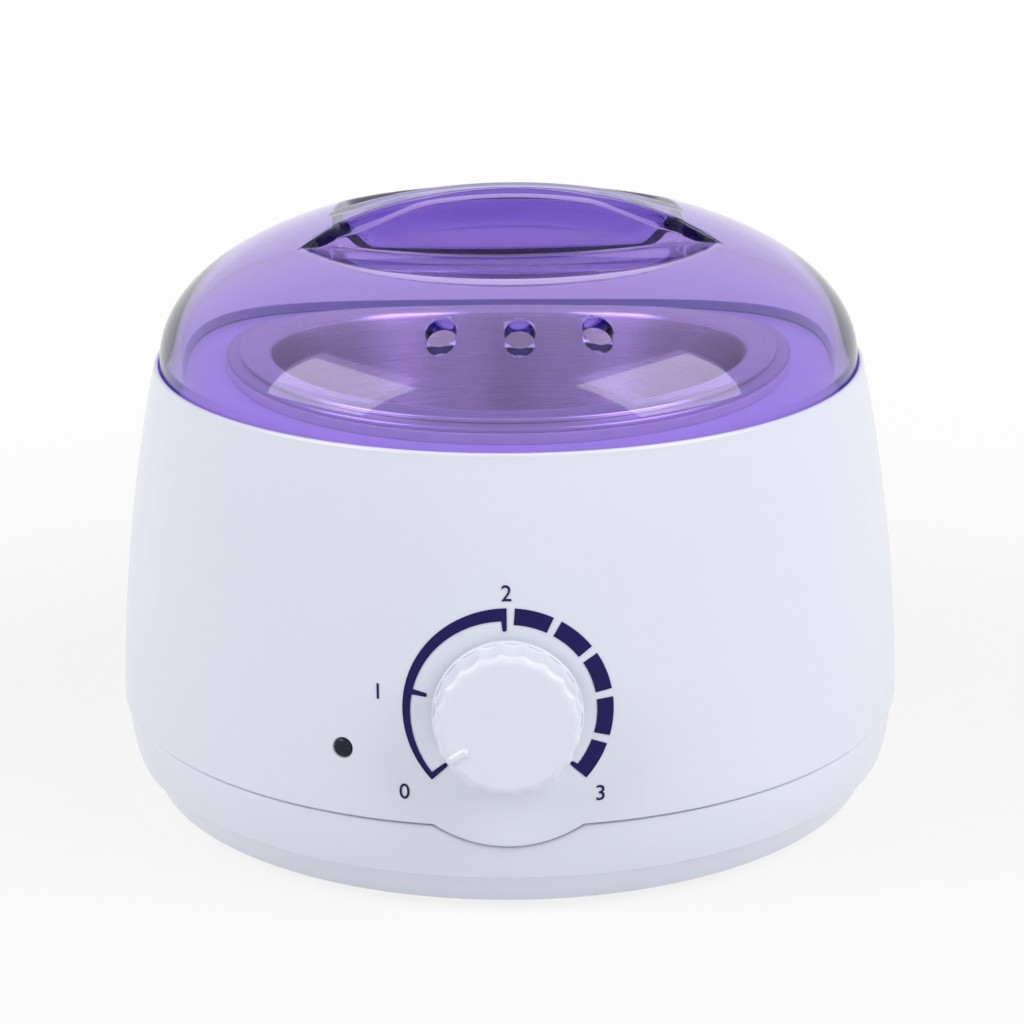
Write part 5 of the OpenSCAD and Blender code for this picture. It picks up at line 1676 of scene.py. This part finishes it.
@dataclass
class PrintedDial:
    """The printed scale round the knob, with plain numbers at its four marks."""

    form: CaseForm
    radius: float = 21.8
    band: float = 3.4
    arc_less: float = 0.7
    thin: float = 1.1
    gap: float = 0.03
    thickness: float = 0.12
    off_degrees: float = 223.4
    on_degrees: float = 169.5
    mid_degrees: float = 90.5
    segment_first: float = 86.0
    segment_span: float = 21.8
    segment_pitch: float = 26.6
    segments: int = 5
    tick_depth: float = 4.8
    tick_round: float = 0.5
    tick_span: float = 3.2
    digit_h: float = 3.3
    cap_share: float = 0.7
    digits: tuple[tuple[str, float, float], ...] = (
        ("0", -21.6, 29.0), ("1", -26.9, 50.1), ("2", -0.2, 71.9), ("3", 19.1, 28.8))

    def tick(self, angle: Array, middle: float, width: Array) -> Array:
        """Deepens a strip to a tick's full depth round an angle, with a rounded inner end.

        Args:
            angle: Angles along the strip in degrees.
            middle: The tick's angle.
            width: Widths of the strip.

        Returns:
            The new widths.
        """
        u = (angle - middle) / (self.tick_span / 2)
        depth = self.tick_depth - self.tick_round * (1 - np.sqrt(np.maximum(1 - u * u, 0)))
        return np.where(np.abs(u) <= 1, np.maximum(width, depth), width)

    def strip(self, angle: Array, width: Array) -> Patch:
        """One printed strip: a thin closed slab along the dial's circle, from it inwards by its width.

        Args:
            angle: Angles along the strip in degrees.
            width: Its widths there.

        Returns:
            The closed surface.
        """
        a, q = np.radians(angle)[None, :], np.linspace(0, 1, 7)[:, None]
        r = self.radius - width[None, :] * q
        x, z = r * np.cos(a), self.form.dial_z + r * np.sin(a)
        top = self.form.print_place(x, z, self.gap + self.thickness)
        low = self.form.print_place(x, z, self.gap)[::-1]
        ring = np.concatenate([top, low])
        ends = [np.repeat(ring[:, i:i + 1].mean(0, keepdims=True), len(ring), 0) for i in (0, -1)]
        return Patch.grid(np.concatenate([ends[0], ring, ends[1]], 1), wrap_rows=True).outward()

    def strips(self) -> Patch:
        """The long arc, which widens from its start to its middle mark, and the five wide segments.

        Returns:
            The closed surfaces, as one.
        """
        half_tick = self.tick_span / 2
        angle = np.linspace(self.off_degrees, self.mid_degrees, 400)
        grow = (self.off_degrees - angle) / (self.off_degrees - self.mid_degrees)
        width = self.thin + (self.band - self.arc_less - self.thin) * grow
        for middle in (self.off_degrees - half_tick, self.on_degrees, self.mid_degrees + half_tick):
            width = self.tick(angle, middle, width)
        patches = [self.strip(angle, width)]
        for i in range(self.segments):
            start = self.segment_first - self.segment_pitch * i
            angle = np.linspace(start, start - self.segment_span, 90)
            width = np.full_like(angle, self.band)
            if i == self.segments - 1:
                width = self.tick(angle, start - self.segment_span + half_tick, width)
            patches.append(self.strip(angle, width))
        return Patch.joined(patches)

    def number(self, text: str, x: float, z: float) -> bpy.types.Object:
        """Makes one plain number as a thin solid that follows the case.

        Args:
            text: The digit.
            x: Its middle across the case.
            z: Its middle in height.

        Returns:
            The digit's object, still without a body.
        """
        curve = bpy.data.curves.new("digit", "FONT")
        curve.body, curve.size, curve.extrude = text, self.digit_h / self.cap_share, self.thickness / 2
        curve.align_x, curve.align_y, curve.resolution_u = "CENTER", "CENTER", 6
        holder = put("digit", curve)
        mesh = baked(holder)
        bpy.data.objects.remove(holder)
        bpy.data.curves.remove(curve)
        flat = np.zeros(len(mesh.vertices) * 3, np.float32)
        mesh.vertices.foreach_get("co", flat)
        flat = flat.reshape(-1, 3).astype(float)
        flat[:, :2] -= (flat[:, :2].min(0) + flat[:, :2].max(0)) / 2
        out = self.gap + self.thickness / 2 + flat[:, 2]
        placed = self.form.print_place(x + flat[:, 0], z + flat[:, 1], out) * MM
        mesh.vertices.foreach_set("co", placed.astype(np.float32).ravel())
        weld(mesh, clean=False)
        return put(f"dial_number_{text}", mesh)

    def build(self) -> None:
        """Builds and dresses the print."""
        piece_of("printed_dial", self.strips(), "navy_print", Body.ROOT, ["dial_print"])
        for text, x, z in self.digits:
            digit = self.number(text, x, z)
            digit.data.materials.clear()
            digit.data.materials.append(finish_of("navy_print"))
            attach(digit, Body.ROOT.value)


@dataclass
class PilotLamp:
    """The lens of the pilot lamp, a small dark dome in the front of the case."""

    form: CaseForm
    upper: UpperCase
    radius: float = 2.0
    flange_r: float = 3.8
    back: float = 3.5
    waist: float = 1.2
    out: float = 0.5

    def build(self) -> None:
        """Builds and dresses the lens: a flange behind the wall and a face that is a flat ellipse."""
        a, wall = np.radians(np.linspace(0, 90, 12)), self.form.wall
        dome = np.stack([self.radius * np.cos(a), self.out * np.sin(a)], -1)
        line = np.concatenate([[[0, -self.back], [self.flange_r, -self.back], [self.flange_r, -wall],
                                [self.radius, -wall], [self.radius, -self.waist]], dome])
        line[-1, 0] = 0
        patch = lathe(line, 96).moved(self.form.on_case(self.upper.lamp_z, self.upper.lamp_angle))
        piece_of("lamp_lens_dome", patch, "dark_lens", Body.ROOT, ["lamp_lens"], 40)


@dataclass
class InnerParts:
    """The CAD pieces that stay as they are and only get their finish."""

    slots: dict[str, str] = field(default_factory=lambda: {
        "case_screws": "screw_steel", "well_brackets": "sheet_steel", "bracket_screws": "screw_steel",
        "heater_band": "mica", "heater_strap": "sheet_steel", "strap_screw": "screw_steel",
        "insulation_wrap": "glass_fibre", "heat_shield": "sheet_steel", "shield_screws": "screw_steel",
        "thermal_fuse": "fuse_metal", "fuse_clip": "sheet_steel", "fuse_clip_screw": "screw_steel",
        "thermostat_shaft": "screw_steel", "thermostat_bushing": "brass", "thermostat_nut": "screw_steel",
        "thermostat_body": "phenolic", "thermostat_blades": "brass", "thermostat_plate": "sheet_steel",
        "plate_screws": "screw_steel", "lamp_bulb": "bulb_glass", "lamp_holder": "black_plastic",
        "inlet_nut": "black_plastic", "cord_clamp": "black_plastic", "clamp_screws": "screw_steel",
        "terminal_block": "ivory_plastic", "block_screw": "screw_steel", "supply_wire": "wire_red",
        "heater_wire": "wire_black", "fuse_wire": "wire_blue", "lamp_wire": "wire_green"})

    def build(self) -> None:
        """Gives each of these nodes its finish."""
        for name, slot in self.slots.items():
            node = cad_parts[name]
            if not node.material_slots:
                node.data.materials.append(None)
            for holder in node.material_slots:
                holder.material = finish_of(slot)


# Camera and studio


def stand(azimuth_degrees: float, elevation_degrees: float, distance: float, aim: Vector,
          roll_degrees: float = 0.0) -> Matrix:
    """Gives the place of a camera or lamp that looks at a point.

    Args:
        azimuth_degrees: Its direction from the point, from the front towards +X.
        elevation_degrees: Its direction above level.
        distance: Its distance from the point in metres.
        aim: The point.
        roll_degrees: Its turn about its own axis.

    Returns:
        The place as a matrix.
    """
    e, a = math.radians(elevation_degrees), math.radians(azimuth_degrees)
    way = Vector((math.cos(e) * math.sin(a), -math.cos(e) * math.cos(a), math.sin(e)))
    look = (-way).to_track_quat("-Z", "Y").to_matrix().to_4x4()
    roll = Matrix.Rotation(math.radians(roll_degrees), 4, "Z")
    return Matrix.Translation(aim + way * distance) @ look @ roll


@dataclass(frozen=True)
class PhotoCamera:
    """The camera at the photograph's viewing angle."""

    distance: float = 691.6
    aim_z: float = 66.22
    elevation_degrees: float = 17.57
    azimuth_degrees: float = 0.35
    roll_degrees: float = -0.33
    lens: float = 104.98
    sensor_width: float = 36.0
    shift_x: float = 0.0026
    shift_y: float = -0.0188
    clip_m: Span = (0.05, 50)

    def build(self) -> None:
        """Places the camera and makes it the scene's own."""
        camera = bpy.data.cameras.new("photo_camera")
        camera.lens, camera.sensor_width = self.lens, self.sensor_width
        camera.shift_x, camera.shift_y = self.shift_x, self.shift_y
        camera.clip_start, camera.clip_end = self.clip_m
        holder = put("photo_camera", camera)
        holder.matrix_world = stand(self.azimuth_degrees, self.elevation_degrees, self.distance * MM,
                                    Vector((0, 0, self.aim_z * MM)), self.roll_degrees)
        bpy.context.scene.camera = holder


@dataclass(frozen=True)
class SoftBox:
    """A square-cornered soft light that faces the object. Its distance and sides are in metres."""

    name: str
    azimuth_degrees: float
    elevation_degrees: float
    distance: float
    width: float
    height: float
    power: float
    aim_z: float = 50.0

    def build(self) -> None:
        """Places the light, turned towards the object and hidden from the camera."""
        light = bpy.data.lights.new(self.name, "AREA")
        light.shape, light.size, light.size_y, light.energy = "RECTANGLE", self.width, self.height, self.power
        holder = put(self.name, light)
        holder.matrix_world = stand(self.azimuth_degrees, self.elevation_degrees, self.distance,
                                    Vector((0, 0, self.aim_z * MM)))
        holder.visible_camera = False


@dataclass(frozen=True)
class Studio:
    """A white floor and surround, with two soft boxes in front.

    Light runs far inside the lid's clear wall before it comes out, so it is followed for many bounces.
    """

    boxes: tuple[SoftBox, ...] = (
        SoftBox("left_box", -64, 35, 1.25, 0.82, 0.8, 8.5),
        SoftBox("right_box", 60, 37, 1.25, 0.87, 0.95, 10.5),
    )
    surround: float = 0.25
    surround_colour: Colour = (0.96, 0.97, 1)
    floor_rings: tuple[float, ...] = (0, 200, 600, 2000, 9000)
    floor_z: float = -0.1
    floor_tones: tuple[Colour, Colour] = ((0.8, 0.8, 0.81), (0.82, 0.82, 0.83))
    floor_scale: float = 3.0
    floor_glow: float = 0.985
    floor_share: float = 0.84
    floor_fade: Span = (0.1, 0.36)
    bounces: int = 48

    @staticmethod
    def seen(graph: Graph) -> bpy.types.Node:
        """Adds a value that is 1 for camera, glossy and transmission rays, and 0 for others.

        Args:
            graph: The node tree that it is added to.

        Returns:
            The node, whose output is Value.
        """
        path = graph.add("ShaderNodeLightPath")
        last, out = path, "Is Camera Ray"
        for kind in ("Is Glossy Ray", "Is Transmission Ray"):
            larger = graph.add("ShaderNodeMath")
            larger.operation, larger.use_clamp = "MAXIMUM", True
            graph.join(last, out, larger, 0)
            graph.join(path, kind, larger, 1)
            last, out = larger, "Value"
        return last

    def world(self) -> None:
        """A surround that is white where it is seen and weaker where it only lights."""
        world = bpy.data.worlds.new("surround")
        bpy.context.scene.world = world
        world.use_nodes = True
        graph = Graph(world.node_tree)
        lit = graph.add("ShaderNodeBackground", {"Color": (*self.surround_colour, 1),
                                                 "Strength": self.surround})
        white = graph.add("ShaderNodeBackground", {"Color": (1, 1, 1, 1), "Strength": 1.0})
        mix = graph.mix((self.seen(graph), "Value"), (lit, "Background"), (white, "Background"))
        graph.join(mix, "Shader", graph.add("ShaderNodeOutputWorld"), "Surface")

    def floor_finish(self) -> bpy.types.Material:
        """A matt floor that keeps the shadow, and glows white where it is seen further out.

        Returns:
            The material.
        """
        tree = Tree("studio_floor")
        tree.fill(tree.shader, {"Roughness": 1.0, "Specular IOR Level": 0.0})
        tree.tone(tree.noise(self.floor_scale, 2), *self.floor_tones)
        glow = tree.add("ShaderNodeEmission", {"Strength": self.floor_glow})
        away = tree.length(tree.place, "Object")
        far = tree.spread(away, "Value", self.floor_fade, (self.floor_share, 1.0))
        far.interpolation_type = "SMOOTHSTEP"
        share = tree.add("ShaderNodeMath")
        share.operation = "MULTIPLY"
        tree.join(self.seen(tree), "Value", share, 0)
        tree.join(far, "Result", share, 1)
        mix = tree.mix((share, "Value"), (tree.shader, "BSDF"), (glow, "Emission"))
        tree.join(mix, "Shader", tree.output, "Surface")
        return tree.material

    def floor(self) -> None:
        """A large round floor just below the feet."""
        azimuth = FULL_TURN * np.arange(96)[None, :] / 96
        r = np.array(self.floor_rings, float)[:, None]
        disc = Patch.grid(polar(r, azimuth, np.full_like(r, self.floor_z)), wrap_columns=True)
        mesh = to_mesh("studio_floor", disc)
        floor = put("studio_floor", mesh)
        mesh.materials.append(self.floor_finish())

    def build(self) -> None:
        """Sets up the surround, the floor and the lights."""
        self.world()
        self.floor()
        for box in self.boxes:
            box.build()
        bpy.context.scene.view_settings.view_transform = "Standard"
        paths = bpy.context.scene.cycles
        paths.max_bounces = paths.transmission_bounces = paths.glossy_bounces = self.bounces


def main() -> None:
    """Builds the studio and every sub-assembly in order."""
    logging.basicConfig(level=logging.INFO, format="%(message)s")
    PhotoCamera().build()
    Studio().build()
    form = CaseForm()
    upper = UpperCase(form)
    tray = BaseTray(form, upper)
    for part in (upper, tray, CordInlet(tray), PotAndWell(), TintedLid(), Knob(form), PrintedDial(form),
                 PilotLamp(form, upper), InnerParts()):
        part.build()


if __name__ == "__main__":
    main()
